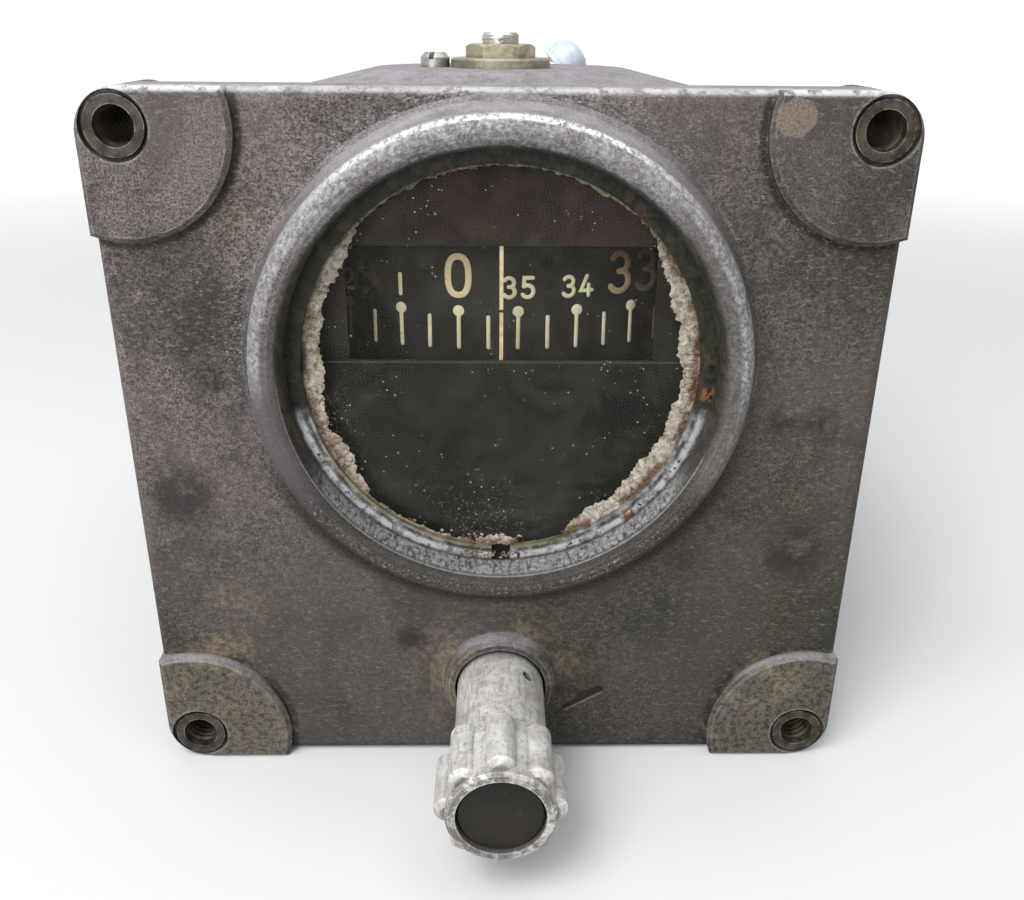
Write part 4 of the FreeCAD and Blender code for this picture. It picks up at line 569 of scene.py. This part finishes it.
def sealant():
    """Dried putty round the glass: chalky cream flakes with dark cracks, rusty towards the ring."""
    s = Shade("dried_sealant")
    flake = s.noise(820, 6, 0.7, 0.6)
    patch = s.noise(260, 5, 0.65)
    s.color = s.tones(flake, 0.34, 0.58, (0.15, 0.118, 0.085), (0.43, 0.39, 0.325))
    s.coat((0.7, 0.67, 0.6), s.span(flake, 0.56, 0.68), 0.8)
    s.coat((0.19, 0.135, 0.085), s.span(patch, 0.5, 0.62), 0.5)
    rust = s.both(s.span(s.radius, 32.6, 33.7), s.span(patch, 0.34, 0.52),
                  s.plus(s.both(s.sector(336, 60, 6), 0.35), 0.6))
    s.coat(s.tones(flake, 0.4, 0.6, (0.06, 0.036, 0.022), (0.17, 0.095, 0.048)), rust)
    stain = s.both(s.sector(177, 3, 3), s.span(s.radius, 33.0, 33.8))
    s.coat((0.035, 0.02, 0.035), stain, 0.85)
    thin_tone = s.tones(flake, 0.4, 0.6, (0.12, 0.09, 0.06), (0.34, 0.27, 0.18))
    s.coat(thin_tone, s.sector(88, 44, 6), 0.8)
    crack = s.span(s.cells(700, "DISTANCE_TO_EDGE"), 0.05, 0.01)
    crack = s.both(crack, s.span(patch, 0.46, 0.58))
    s.coat((0.035, 0.028, 0.022), crack, 0.8)
    return s.finish(0.92, s.bump(s.minus(flake, s.both(crack, 0.5)), 0.16, 0.9), gloss=0.2)


def window_glass():
    """Old flat glass: it passes light and mirrors a little, with dust and specks on its face."""
    s = Shade("old_glass")
    clump = s.noise(90, 4, 0.6)
    low_right = s.either(s.span(s.z, 0.008, -0.014), s.both(s.span(s.radius, 24, 33), 0.6))
    specks = s.both(s.span(s.cells(900), 0.17, 0.08), s.patches(190, 4, 0.6, 0.52, 0.62))
    grit = s.both(s.span(s.cells(1700), 0.22, 0.1), s.span(clump, 0.46, 0.6), low_right)
    haze = s.both(s.span(s.noise(30, 5, 0.6, 1.0), 0.34, 0.7), 0.012)
    dust = s.plus(s.either(s.both(specks, 0.75), s.both(grit, 0.6)), haze, True)
    s.color = s.tones(s.noise(500, 3), 0.4, 0.6, (0.3, 0.27, 0.22), (0.62, 0.58, 0.5))
    s.finish(0.85)
    clear = s.node("BsdfTransparent", Color=(0.955, 0.957, 0.93, 1))
    mirror = s.node("BsdfGlossy", Roughness=0.08)
    fresnel = s.node("Fresnel", IOR=1.16)
    pane = s.node("MixShader", fresnel.outputs[0], clear.outputs[0], mirror.outputs[0])
    dusty = s.node("MixShader", dust, pane.outputs[0], s.bsdf.outputs[0])
    output = next(n for n in s.nodes if n.type == "OUTPUT_MATERIAL")
    s.links.new(dusty.outputs[0], output.inputs["Surface"])
    return s.mat


def cap_plastic():
    """Pale blue push-on cap, nearly white where the light has bleached it."""
    s = Shade("cap_plastic")
    fade = s.noise(260, 4, 0.6)
    s.color = s.tones(fade, 0.35, 0.62, (0.42, 0.53, 0.62), (0.6, 0.67, 0.71))
    s.coat((0.34, 0.37, 0.37), s.span(s.noise(900, 4), 0.6, 0.74), 0.4)
    # Painted shade in the cap's hollows.
    s.coat((0.2, 0.23, 0.25), s.hollow(1.2, 0.4, 0.85), 0.5)
    return s.finish(s.span(fade, 0.3, 0.7, 0.36, 0.52), s.bump(s.noise(700, 3), 0.03, 0.5), gloss=0.4)


def ring_steel():
    """The split retaining ring: blue steel lit low down and near black in painted shade over its top, with a
    painted highlight low down and two spots of rust.
    """
    s = Shade("ring_steel")
    tone = s.noise(600, 5, 0.66)
    # Lit and shaded copies of the steel: painted light on the lower arc, painted shade over the top.
    bright = s.tones(tone, 0.34, 0.66, (0.14, 0.138, 0.135), (0.4, 0.405, 0.42))
    shaded_steel = s.tones(tone, 0.34, 0.66, (0.012, 0.014, 0.01), (0.034, 0.036, 0.026))
    low = s.sector(270, 72, 8)
    s.color = s.mix(low, shaded_steel, bright)
    # Painted highlight along the ring's lower arc.
    shine = s.both(s.ring(35.8, 36.5, 0.35), low, s.patches(260, 4, 0.6, 0.34, 0.5))
    s.coat((0.74, 0.75, 0.77), shine, 0.85)
    groove = s.both(s.ring(34.9, 35.2, 0.25), s.patches(300, 4, 0.6, 0.62, 0.42))
    s.coat((0.03, 0.024, 0.016), groove, 0.7)
    line = s.both(s.ring(34.2, 34.6, 0.2), s.sector(248, 42, 5))
    s.coat((0.24, 0.22, 0.1), line, 0.7)
    rust = s.either(s.sector(310, 1.0, 2.2), s.sector(353, 0.8, 2.0))
    rust = s.both(rust, s.span(s.radius, 34.6, 35.4))
    s.coat((0.24, 0.095, 0.035), rust, s.span(s.noise(900, 4), 0.4, 0.54))
    s.coat((0.075, 0.058, 0.036), s.patches(330, 5, 0.7, 0.5, 0.62), 0.6)
    return s.finish(s.span(tone, 0.3, 0.7, 0.3, 0.52), s.bump(tone, 0.05, 0.7), s.both(low, 0.7), gloss=0.15)


def insert_steel():
    """Threaded inserts, dark with old oil, with a bright worn lip at the foot of each mouth."""
    s = Shade("insert_steel")
    tone = s.noise(420, 5, 0.66)
    s.color = s.tones(tone, 0.36, 0.64, (0.024, 0.02, 0.015), (0.072, 0.06, 0.046))
    s.coat((0.21, 0.185, 0.15), s.span(s.noise(1500, 4), 0.6, 0.72), 0.4)
    s.coat((0.42, 0.4, 0.36), s.edge(0.3), s.span(tone, 0.42, 0.56), 0.75)
    s.coat((0.085, 0.055, 0.03), s.span(s.y, 0.0025, 0.007), 0.6)
    return s.finish(s.span(tone, 0.3, 0.7, 0.42, 0.64), s.bump(tone, 0.06, 0.7), metallic=0.4,
                    gloss=0.3)


def gauze():
    """Woven wire gauze over the felt of the air filter."""
    s = Shade("filter_gauze")
    one = s.waves(420, "X", 0.4)
    two = s.waves(420, "Z", 0.4)
    weave = s.either(s.span(one, 0.45, 0.85), s.span(two, 0.45, 0.85))
    s.color = s.mix(weave, (0.1, 0.085, 0.06), (0.44, 0.42, 0.36))
    s.coat((0.16, 0.12, 0.08), s.patches(90, 5, 0.6, 0.48, 0.64), 0.5)
    return s.finish(0.7, s.bump(s.plus(one, two), 0.25, 0.8), metallic=s.both(weave, 0.6))


MATERIALS = {
    "cast_case": cast_paint(),
    "insert_steel": insert_steel(),
    "window_glass": window_glass(),
    "gasket_rubber": plain_paint("gasket_rubber", (0.028, 0.027, 0.026), (0.12, 0.11, 0.1), 0.85),
    "mask_black": mask_paint(),
    "lubber_cream": lubber_paint(),
    "filter_felt": gauze(),
    "bearing_steel": metal("bearing_steel", (0.62, 0.62, 0.61), (0.45, 0.45, 0.44), 0.25, edge=0.2),
    "lower_cap_steel": metal("olive_steel", (0.34, 0.325, 0.25), (0.17, 0.16, 0.12), 0.5,
                             (0.09, 0.07, 0.04), shine=0.6),
    "brass": metal("old_brass", (0.46, 0.42, 0.31), (0.27, 0.24, 0.16), 0.42, (0.14, 0.105, 0.065), 0.6),
    "stud_steel": metal("machined_steel", (0.52, 0.5, 0.47), (0.3, 0.285, 0.26), 0.36, (0.12, 0.08, 0.05)),
    "port_aluminium": metal("port_aluminium", (0.6, 0.6, 0.59), (0.4, 0.4, 0.39), 0.4, (0.16, 0.15, 0.13)),
    "port_cap_plastic": cap_plastic(),
    "gimbal_aluminium": metal("turned_aluminium", (0.7, 0.7, 0.69), (0.52, 0.52, 0.51), 0.34, relief=0.03),
    "card_black": card_paint(),
    "rotor_brass": metal("turned_brass", (0.7, 0.55, 0.26), (0.52, 0.4, 0.17), 0.28, relief=0.03),
    "knob_metal": knob_metal(),
    "knob_insert_black": plain_paint("insert_black", (0.01, 0.009, 0.007), (0.05, 0.038, 0.024), 0.46,
                                     vary=0.5, grain=500, relief=0.08),
}
SCREW_STEEL = metal("screw_steel", (0.46, 0.44, 0.41), (0.22, 0.21, 0.19), 0.42, (0.11, 0.075, 0.05), 0.6)
OWN_LOOKS = {name: SCREW_STEEL for name in ("filter_ring", "cover_screws", "crown_screws", "knob_set_screw")}
OWN_LOOKS["retaining_ring"] = ring_steel()

slot_of = {p["node"]: p["material_slot"] for p in frame["record"]["subparts"]}
for name, node in NODES.items():
    material = OWN_LOOKS.get(name, MATERIALS[slot_of[name]])
    for i in range(max(1, len(node.data.materials))):
        if len(node.data.materials) <= i:
            node.data.materials.append(material)
        node.data.materials[i] = material


# Pieces in mesh code

def add_object(name, data):
    made = bpy.data.objects.new(name, data)
    bpy.context.scene.collection.objects.link(made)
    return made


def mesh_object(name, verts, faces):
    """A smooth object in the scene, from corners in millimetres."""
    mesh = bpy.data.meshes.new(name)
    mesh.from_pydata([tuple(c * MM for c in v) for v in verts], [], faces)
    mesh.validate()
    mesh.polygons.foreach_set("use_smooth", [True] * len(mesh.polygons))
    return add_object(name, mesh)


def mesh_piece(name, verts, faces, materials, body):
    piece = mesh_object(name, verts, faces)
    for material in materials:
        piece.data.materials.append(material)
    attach(piece, body)
    return piece


def join(verts, faces, part):
    """Adds a part, as its corners and faces, to the corners and faces of a piece."""
    start = len(verts)
    verts.extend(part[0])
    faces.extend(tuple(start + k for k in face) for face in part[1])


# Height of painted strokes over the card, and how far their rims sink into it
STROKE_RISE = 0.11
DOT_RISE = 0.13
PAINT_SINK = -0.03


def stroke(points, half, closed=False):
    """A raised painted stroke along flat points: rows of four (u, v, h) across, with round ends."""
    pts = [Vector((u, v)) for u, v in points]
    rows = []
    count = len(pts)
    for i, p in enumerate(pts):
        before = pts[i - 1] if (i or closed) else None
        after = pts[(i + 1) % count] if (i < count - 1 or closed) else None
        d0 = (p - before).normalized() if before is not None else (after - p).normalized()
        d1 = (after - p).normalized() if after is not None else d0
        along = (d0 + d1).normalized()
        side = Vector((-along.y, along.x))
        reach = min(1.6, 1.0 / max(0.4, along.dot(d0)))
        rows.append((p, side * reach, half, along))
    if not closed:
        head, tail = rows[0], rows[-1]
        for turn in (30, 60, 82):
            c, t = math.cos(math.radians(turn)), math.sin(math.radians(turn))
            rows.insert(0, (head[0] - head[3] * half * t, head[1], half * c, head[3]))
            rows.append((tail[0] + tail[3] * half * t, tail[1], half * c, tail[3]))
    verts = []
    for p, side, wide, _along in rows:
        for share, height in ((-1, PAINT_SINK), (-0.62, STROKE_RISE), (0.62, STROKE_RISE), (1, PAINT_SINK)):
            q = p + side * wide * share
            verts.append((q.x, q.y, height))
    faces = []
    last = len(rows) if closed else len(rows) - 1
    for i in range(last):
        a = i * 4
        b = ((i + 1) % len(rows)) * 4
        faces += [(a + k, a + k + 1, b + k + 1, b + k) for k in range(3)]
    if not closed:
        end = (len(rows) - 1) * 4
        faces += [(3, 2, 1, 0), (end, end + 1, end + 2, end + 3)]
    return verts, faces


def arc(cx, cy, rx, ry, start, end, steps=14):
    angles = [math.radians(start + (end - start) * i / steps) for i in range(steps + 1)]
    return [(cx + rx * math.cos(a), cy + ry * math.sin(a)) for a in angles]


def bulge(value, power):
    return math.copysign(abs(value) ** (2 / power), value)


def oval(cx, cy, rx, ry, power=2.5, steps=36):
    angles = [2 * math.pi * i / steps for i in range(steps)]
    return [(cx + rx * bulge(math.cos(a), power), cy + ry * bulge(math.sin(a), power)) for a in angles]


def digit(character, w, h):
    """Strokes of one figure in a w by h box whose foot is at 0: (points, closed) pairs."""
    r = w / 2
    loops = {
        "0": [oval(0, h / 2, r, h / 2)],
        "6": [oval(0, h * 0.3, r, h * 0.3, 2.1, 28)],
        "8": [oval(0, h * 0.76, r * 0.82, h * 0.24, 2.1, 26), oval(0, h * 0.27, r, h * 0.27, 2.1, 28)],
        "9": [oval(0, h * 0.7, r, h * 0.3, 2.1, 28)],
    }
    lines = {
        "1": [[(0, 0), (0, h)]],
        "2": [arc(0, h - r, r * 0.95, r, 165, -28) + [(-r * 0.95, 0), (r, 0)]],
        "3": [arc(0, h * 0.75, r * 0.86, h * 0.25, 150, -62, 12),
              [(-r * 0.05, h * 0.53), (r * 0.42, h * 0.53)],
              arc(0, h * 0.28, r, h * 0.28, 62, -150, 14)],
        "4": [[(r * 0.05, h), (-r, h * 0.26), (r, h * 0.26)], [(r * 0.42, h * 0.55), (r * 0.42, 0)]],
        "5": [[(r * 0.85, h), (-r * 0.62, h), (-r * 0.72, h * 0.56)],
              arc(-r * 0.05, h * 0.31, r * 1.02, h * 0.31, 118, -148, 14)],
        "6": [arc(r * 0.55, h * 0.34, r * 1.5, h * 0.68, 100, 178, 10)],
        "7": [[(-r, h), (r, h), (-r * 0.25, 0)]],
        "9": [arc(-r * 0.55, h * 0.66, r * 1.5, h * 0.68, -80, -2, 10)],
    }
    closed = [(points, True) for points in loops.get(character, [])]
    return closed + [(points, False) for points in lines.get(character, [])]


# The card's markings: angle of its zero, and heights and radii in millimetres
CARD_ZERO = -7.15
TICK_FOOT = 19.3
TICK_TOP = 24.9
DOT_CENTRE = 26.0
DOT_RADIUS = 1.02
TICK_HALF = 0.36
CARD_LIFT = 0.04
BIG_FIGURE = {"wide": 3.7, "tall": 6.9, "half": 0.56, "gap": 1.75, "foot": 28.9}
SMALL_FIGURE = {"wide": 2.05, "tall": 3.5, "half": 0.36, "gap": 1.3, "foot": 28.6}
HIDDEN_HEADINGS = (20, 325)
CREAM, HALF_SHADED, DARK, WARM = range(4)


def on_card(angle, u, v, h):
    turn = math.radians(angle) + u / CARD_RADIUS
    radius = CARD_RADIUS + CARD_LIFT + h
    return (radius * math.sin(turn), AXIS_Y - radius * math.cos(turn), v)


def dot():
    """A raised painted dot: a fan round its centre, and a ring of faces down to the card."""
    sides = 20
    verts = [(0, 0, DOT_RISE)]
    for radius, height in ((DOT_RADIUS * 0.72, DOT_RISE), (DOT_RADIUS, PAINT_SINK)):
        angles = [i * math.pi / 10 for i in range(sides)]
        verts += [(radius * math.cos(a), radius * math.sin(a), height) for a in angles]
    faces = [(0, 1 + i, 1 + (i + 1) % sides) for i in range(sides)]
    for i in range(sides):
        after = (i + 1) % sides
        faces.append((1 + i, 1 + sides + i, 1 + sides + after, 1 + after))
    return verts, faces


def figure_tone(number, place):
    """The paint of a figure: the last ones seen at the window's right, those of 33, carry painted shade,
    half on the first and full on the second.
    """
    if number == 33:
        return HALF_SHADED if place == 0 else DARK
    if number == 2:
        return DARK
    return CREAM if number % 3 else WARM


def number_strokes(number):
    """The strokes of a number, each with the height of its foot and its paint."""
    size = SMALL_FIGURE if number % 3 else BIG_FIGURE
    text = str(number)
    out = []
    for i, character in enumerate(text):
        shift = (i - (len(text) - 1) / 2) * (size["wide"] + size["gap"])
        for points, closed in digit(character, size["wide"], size["tall"]):
            part = stroke([(u + shift, v) for u, v in points], size["half"], closed)
            out.append((part, size["foot"], figure_tone(number, i)))
    return out


def card_markings():
    """Ticks every 5 degrees, dotted ones every 10, and the figures, painted on the turning card."""
    rng = random.Random(7)
    verts, faces, kinds = [], [], []
    for step in range(72):
        heading = step * 5
        dotted = step % 2 == 0
        tall = (DOT_CENTRE if dotted else TICK_TOP) - TICK_FOOT
        lean = rng.uniform(-0.04, 0.04)
        paint = DARK if heading in HIDDEN_HEADINGS else CREAM
        parts = [(stroke([(lean, 0), (0, tall / 2), (-lean, tall)], TICK_HALF), TICK_FOOT, paint)]
        if dotted:
            parts.append((dot(), DOT_CENTRE, paint))
            parts += number_strokes(heading // 10)
        for (points, sides), foot, kind in parts:
            placed = [on_card(CARD_ZERO - heading, u, v + foot, h) for u, v, h in points]
            join(verts, faces, (placed, sides))
            kinds += [kind] * len(sides)
    paints = [
        figure_paint("figure_cream", (0.92, 0.86, 0.62), (0.34, 0.2, 0.11), 0.12),
        figure_paint("figure_half_shaded", (0.86, 0.74, 0.5), (0.2, 0.1, 0.06), 1.05),
        figure_paint("figure_dark", (0.23, 0.155, 0.1), (0.075, 0.048, 0.034), 1.0),
        figure_paint("figure_warm", (0.97, 0.83, 0.55), (0.55, 0.36, 0.2), 0.4),
    ]
    piece = mesh_piece("card_markings", verts, faces, paints, "azimuth_gimbal")
    piece.data.polygons.foreach_set("material_index", kinds)


card_markings()


def wobble(rng, count, rough):
    """A closed random profile: a list of count values about 0, from a few waves and fine jags."""
    waves = []
    for k in range(3, 40):
        size = rng.uniform(0.4, 1.0) / (1 + k * 0.12)
        waves.append((k, size, rng.uniform(0, 2 * math.pi)))
    out = []
    for i in range(count):
        a = 2 * math.pi * i / count
        out.append(sum(s * math.sin(k * a + p) for k, s, p in waves) / 6 + rng.uniform(-rough, rough))
    return out


def lump(rng, centre, size):
    """A small uneven crumb: an octahedron with every corner and edge middle pushed about."""
    corners = [Vector(c) for c in ((1, 0, 0), (-1, 0, 0), (0, 1, 0), (0, -1, 0), (0, 0, 1), (0, 0, -1))]
    sides = [(0, 2, 4), (2, 1, 4), (1, 3, 4), (3, 0, 4), (2, 0, 5), (1, 2, 5), (3, 1, 5), (0, 3, 5)]
    middles = {}
    points = list(corners)
    faces = []
    for a, b, c in sides:
        for pair in ((a, b), (b, c), (c, a)):
            pair = tuple(sorted(pair))
            if pair not in middles:
                middles[pair] = len(points)
                points.append((corners[pair[0]] + corners[pair[1]]).normalized())
        ab, bc, ca = (middles[tuple(sorted(pair))] for pair in ((a, b), (b, c), (c, a)))
        faces += [(a, ab, ca), (ab, b, bc), (ca, bc, c), (ab, bc, ca)]
    flat = rng.uniform(0.5, 0.9)
    verts = []
    for p in points:
        q = p * size * rng.uniform(0.65, 1.2)
        verts.append((centre[0] + q.x, centre[1] + q.y * flat, centre[2] + q.z))
    return verts, faces


# The sealant's inner edge as (angle, radius), with its outer radius, raggedness and thickness
SEALANT_BANDS = [
    ([(133, 33.9), (135, 33.5), (140, 32.5), (145, 31.7), (155, 31.9), (160, 32.2), (165, 31.2), (175, 31.2),
      (181, 30.5), (187, 31.2), (195, 31.7), (200, 32.5), (205, 31.2), (213, 31.1), (217, 32.4), (222, 33.0),
      (225, 33.8)], 34.4, 0.24, 0.24),
    ([(290, 33.9), (291, 32.9), (295, 32.2), (300, 31.1), (308, 31.9), (312, 31.4), (318, 31.1), (326, 30.3),
      (332, 30.8), (335, 31.4), (345, 30.9), (350, 31.4), (360, 31.4), (366, 30.4), (375, 31.1), (382, 30.7),
      (387, 31.7), (393, 32.2), (400, 33.2), (402, 33.9)], 34.4, 0.24, 0.24),
    ([(42, 33.95), (60, 33.8), (90, 33.9), (110, 33.75), (133, 33.9)], 34.35, 0.06, 0.22),
    ([(225, 34.0), (240, 33.95), (262, 33.9)], 34.35, 0.05, 0.12),
    ([(262, 33.6), (265, 32.9), (270, 32.4), (275, 33.4)], 34.35, 0.16, 0.3),
]
SEALANT_CRUMBS = 150
RIBBON_PITCH = 0.6
RIBBON_STEPS = 6


def ribbon(rng, outline, outer, rough, thick):
    """A ragged strip of putty from the outer radius in to an outline of (angle, radius) pairs."""
    count = int((outline[-1][0] - outline[0][0]) / RIBBON_PITCH)
    jags = wobble(rng, count + 1, rough)
    relief = wobble(rng, count + 1, 0.35)
    verts = []
    for i in range(count + 1):
        degrees = outline[0][0] + i * RIBBON_PITCH
        inner = next(a[1] + (b[1] - a[1]) * (degrees - a[0]) / (b[0] - a[0])
                     for a, b in zip(outline, outline[1:]) if degrees <= b[0] + 1e-6)
        inner = min(outer - 0.12, inner + jags[i])
        a = math.radians(degrees)
        for k in range(RIBBON_STEPS + 1):
            share = k / RIBBON_STEPS
            r = outer + (inner - outer) * k / RIBBON_STEPS
            ripple = 1 + relief[i] + 0.3 * math.sin(k * 2.3 + i * 0.9)
            tall = max(0.05, thick * ripple * (1 - share ** 4)) if share < 1 else -0.02
            verts.append((r * math.cos(a), GLASS_FRONT - tall, WINDOW_Z + r * math.sin(a)))
    row = RIBBON_STEPS + 1
    starts = [i * row + k for i in range(count) for k in range(RIBBON_STEPS)]
    return verts, [(a, a + row, a + row + 1, a + 1) for a in starts]


def window_sealant():
    """The flaking bands of putty on the glass: broad at both sides, thin at the top, crumbs below."""
    rng = random.Random(31)
    verts, faces = [], []
    for outline, outer, rough, thick in SEALANT_BANDS:
        join(verts, faces, ribbon(rng, outline, outer, rough, thick))
    for _ in range(SEALANT_CRUMBS):
        degrees = rng.choice((rng.uniform(196, 332), rng.uniform(258, 277)))
        lip = rng.random() < 0.72
        r = rng.uniform(35.6, 36.8) if lip else rng.uniform(32.6, 34.0)
        a = math.radians(degrees)
        face = RING_FRONT if lip else GLASS_FRONT
        centre = (r * math.cos(a), face - 0.05, WINDOW_Z + r * math.sin(a))
        join(verts, faces, lump(rng, centre, rng.uniform(0.12, 0.38)))
    mesh_piece("window_sealant", verts, faces, [sealant()], "case")


window_sealant()


def thread(name, axis, centre, radius, start, end, pitch, depth, slot):
    """Helical thread ridges along Y or Z: outward for a positive depth, inward for a negative one."""
    sides = 40
    foot = -0.04 if depth > 0 else 0.04
    turns = (end - start) / pitch - 1.2
    count = int(turns * sides)
    verts, faces = [], []
    for i in range(count + 1):
        a = 2 * math.pi * i / sides
        base = start + 0.6 * pitch + pitch * i / sides
        crest = depth * min(1.0, i / sides * 2, (count - i) / sides * 2)
        for offset, height in ((-0.42, foot), (-0.08, crest), (0.08, crest), (0.42, foot)):
            r = radius + height
            along = base + offset * pitch
            u = centre[0] + r * math.cos(a)
            v = centre[1] + r * math.sin(a)
            verts.append((u, along, v) if axis == "Y" else (u, v, along))
    for i in range(count):
        for k in range(3):
            a = i * 4 + k
            faces.append((a, a + 1, a + 5, a + 4))
    mesh_piece(name, verts, faces, [MATERIALS[slot]], "case")


# The collar of a threaded insert behind the flange
SLEEVE_RADIUS = 5.85
SLEEVE_BORE = 3.3
SLEEVE_START = 11.6
SLEEVE_END = 20.5
SLEEVE_RIM = 0.7


def sleeve(name, x, z):
    """A turned tube with a rounded rim."""
    corner = SLEEVE_RIM * 0.3
    edge = SLEEVE_END - SLEEVE_RIM
    outside = [(0, SLEEVE_START), (0, edge), (corner, SLEEVE_END - corner), (SLEEVE_RIM, SLEEVE_END)]
    profile = [(SLEEVE_RADIUS - inward, y) for inward, y in outside]
    profile += [(SLEEVE_BORE + inward, y) for inward, y in reversed(outside)]
    sides = 48
    count = len(profile)
    verts, faces = [], []
    for i in range(sides):
        turn = 2 * math.pi * i / sides
        verts += [(x + r * math.cos(turn), y, z + r * math.sin(turn)) for r, y in profile]
        here, after = i * count, (i + 1) % sides * count
        for k in range(count):
            on = (k + 1) % count
            faces.append((here + k, after + k, after + on, here + on))
    mesh_piece(name, verts, faces, [MATERIALS["insert_steel"]], "case")


SCREW_PLACES = [(-60.325, 58.35), (60.325, 58.35), (-60.325, -58.35), (60.325, -58.35)]
for number, place in enumerate(SCREW_PLACES):
    sleeve(f"insert_sleeve_{number}", *place)
    thread(f"insert_thread_{number}", "Y", place, INSERT_BORE, 1.0, 19.6, 1.27, -0.42, "insert_steel")
stud_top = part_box("pivot_stud")[1].z / MM
thread("stud_thread", "Z", (0, AXIS_Y), STUD_RADIUS, 69.3, stud_top - 0.35, 0.95, 0.22, "stud_steel")


# Floor, lights and camera

FLOOR_NEAR = -2500
FLOOR_FLAT = 900
FLOOR_CURVE = 650
FLOOR_WALL = 2600
FLOOR_HALF_WIDTH = 4000


def stage_floor():
    """A pale floor that curves up to a backdrop, white where it is far from the object.

    It is pale for the camera, mirrors and glass, and a middle grey as a source of light."""
    profile = [(FLOOR_NEAR, 0.0), (FLOOR_FLAT, 0.0)]
    for degrees in range(6, 91, 6):
        a = math.radians(degrees)
        profile.append((FLOOR_FLAT + FLOOR_CURVE * math.sin(a), FLOOR_CURVE * (1 - math.cos(a))))
    profile.append((FLOOR_FLAT + FLOOR_CURVE, FLOOR_WALL))
    sides = (-FLOOR_HALF_WIDTH, FLOOR_HALF_WIDTH)
    verts = [(x, y, z + FLOOR_Z) for y, z in profile for x in sides]
    faces = [(2 * i, 2 * i + 1, 2 * i + 3, 2 * i + 2) for i in range(len(profile) - 1)]
    floor = mesh_object("studio_floor", verts, faces)
    s = Shade("floor_pale")
    seen = s.seen()
    tone = s.mix(s.noise(3, 2), (0.66, 0.665, 0.67), (0.69, 0.69, 0.69))
    far = s.both(seen, s.span(s.distance((0, 40, FLOOR_Z)), 250, 1000))
    s.color = s.mix(far, s.mix(seen, (0.34, 0.34, 0.34), tone), (0.0, 0.0, 0.0))
    s.bsdf.inputs["Emission Color"].default_value = (1, 1, 1, 1)
    s.put(s.bsdf.inputs["Emission Strength"], far)
    floor.data.materials.append(s.finish(0.9))


def area_light(name, place, target, size, energy):
    lamp = bpy.data.lights.new(name, "AREA")
    lamp.shape = "RECTANGLE"
    lamp.size, lamp.size_y = size
    lamp.energy = energy
    holder = add_object(name, lamp)
    holder.location = place
    holder.rotation_euler = (Vector(target) - Vector(place)).to_track_quat("-Z", "Y").to_euler()


def white_world():
    """Even grey light for the object, and white where the camera, mirrors and glass look past it."""
    world = bpy.data.worlds.new("studio")
    bpy.context.scene.world = world
    world.use_nodes = True
    tree = Tree(world.node_tree)
    soft = tree.nodes["Background"]
    soft.inputs["Color"].default_value = (0.95, 0.97, 1.0, 1)
    soft.inputs["Strength"].default_value = 0.33
    white = tree.node("Background", Color=(1, 1, 1, 1))
    blend = tree.node("MixShader", tree.seen(), soft.outputs[0], white.outputs[0])
    tree.links.new(blend.outputs[0], tree.nodes["World Output"].inputs["Surface"])


# The camera that a fit to the flange, window and knob gave: angles in radians
CAMERA_PLACE = (-0.94, -160.78, 73.19)
CAMERA_PITCH = 0.4066
CAMERA_YAW = 0.0179
CAMERA_ROLL = -0.0084
FOCAL_PIXELS = 987.0
IMAGE_WIDTH = 1024.0
SENSOR_WIDTH = 36.0


def photo_camera():
    across = math.sin(CAMERA_YAW)
    onward = math.cos(CAMERA_YAW)
    flat = math.cos(CAMERA_PITCH)
    ahead = Vector((across * flat, onward * flat, -math.sin(CAMERA_PITCH)))
    level = Vector((onward, -across, 0))
    down = ahead.cross(level)
    right = level * math.cos(CAMERA_ROLL) + down * math.sin(CAMERA_ROLL)
    under = down * math.cos(CAMERA_ROLL) - level * math.sin(CAMERA_ROLL)
    camera = bpy.data.cameras.new("photo_camera")
    camera.sensor_width = SENSOR_WIDTH
    camera.lens = SENSOR_WIDTH * FOCAL_PIXELS / IMAGE_WIDTH
    camera.clip_start = 0.005
    camera.clip_end = 50.0
    holder = add_object("photo_camera", camera)
    turn = Matrix((right, -under, -ahead)).transposed().to_4x4()
    holder.matrix_world = Matrix.Translation(Vector(CAMERA_PLACE) * MM) @ turn
    bpy.context.scene.camera = holder


stage_floor()
white_world()
area_light("overhead", (0.0, 0.1, 1.3), (0, 0.05, 0), (1.6, 1.4), 10)
area_light("key", (-0.5, -0.62, 1.05), (0, 0.02, 0), (0.7, 0.7), 14)
area_light("front_left", (-0.5, -1.1, 0.42), (0, 0.02, 0), (0.8, 0.8), 8.5)
area_light("front_right", (0.85, -0.8, 0.45), (0, 0.02, 0), (0.7, 0.7), 1.0)
photo_camera()
bpy.context.scene.view_settings.view_transform = "Standard"
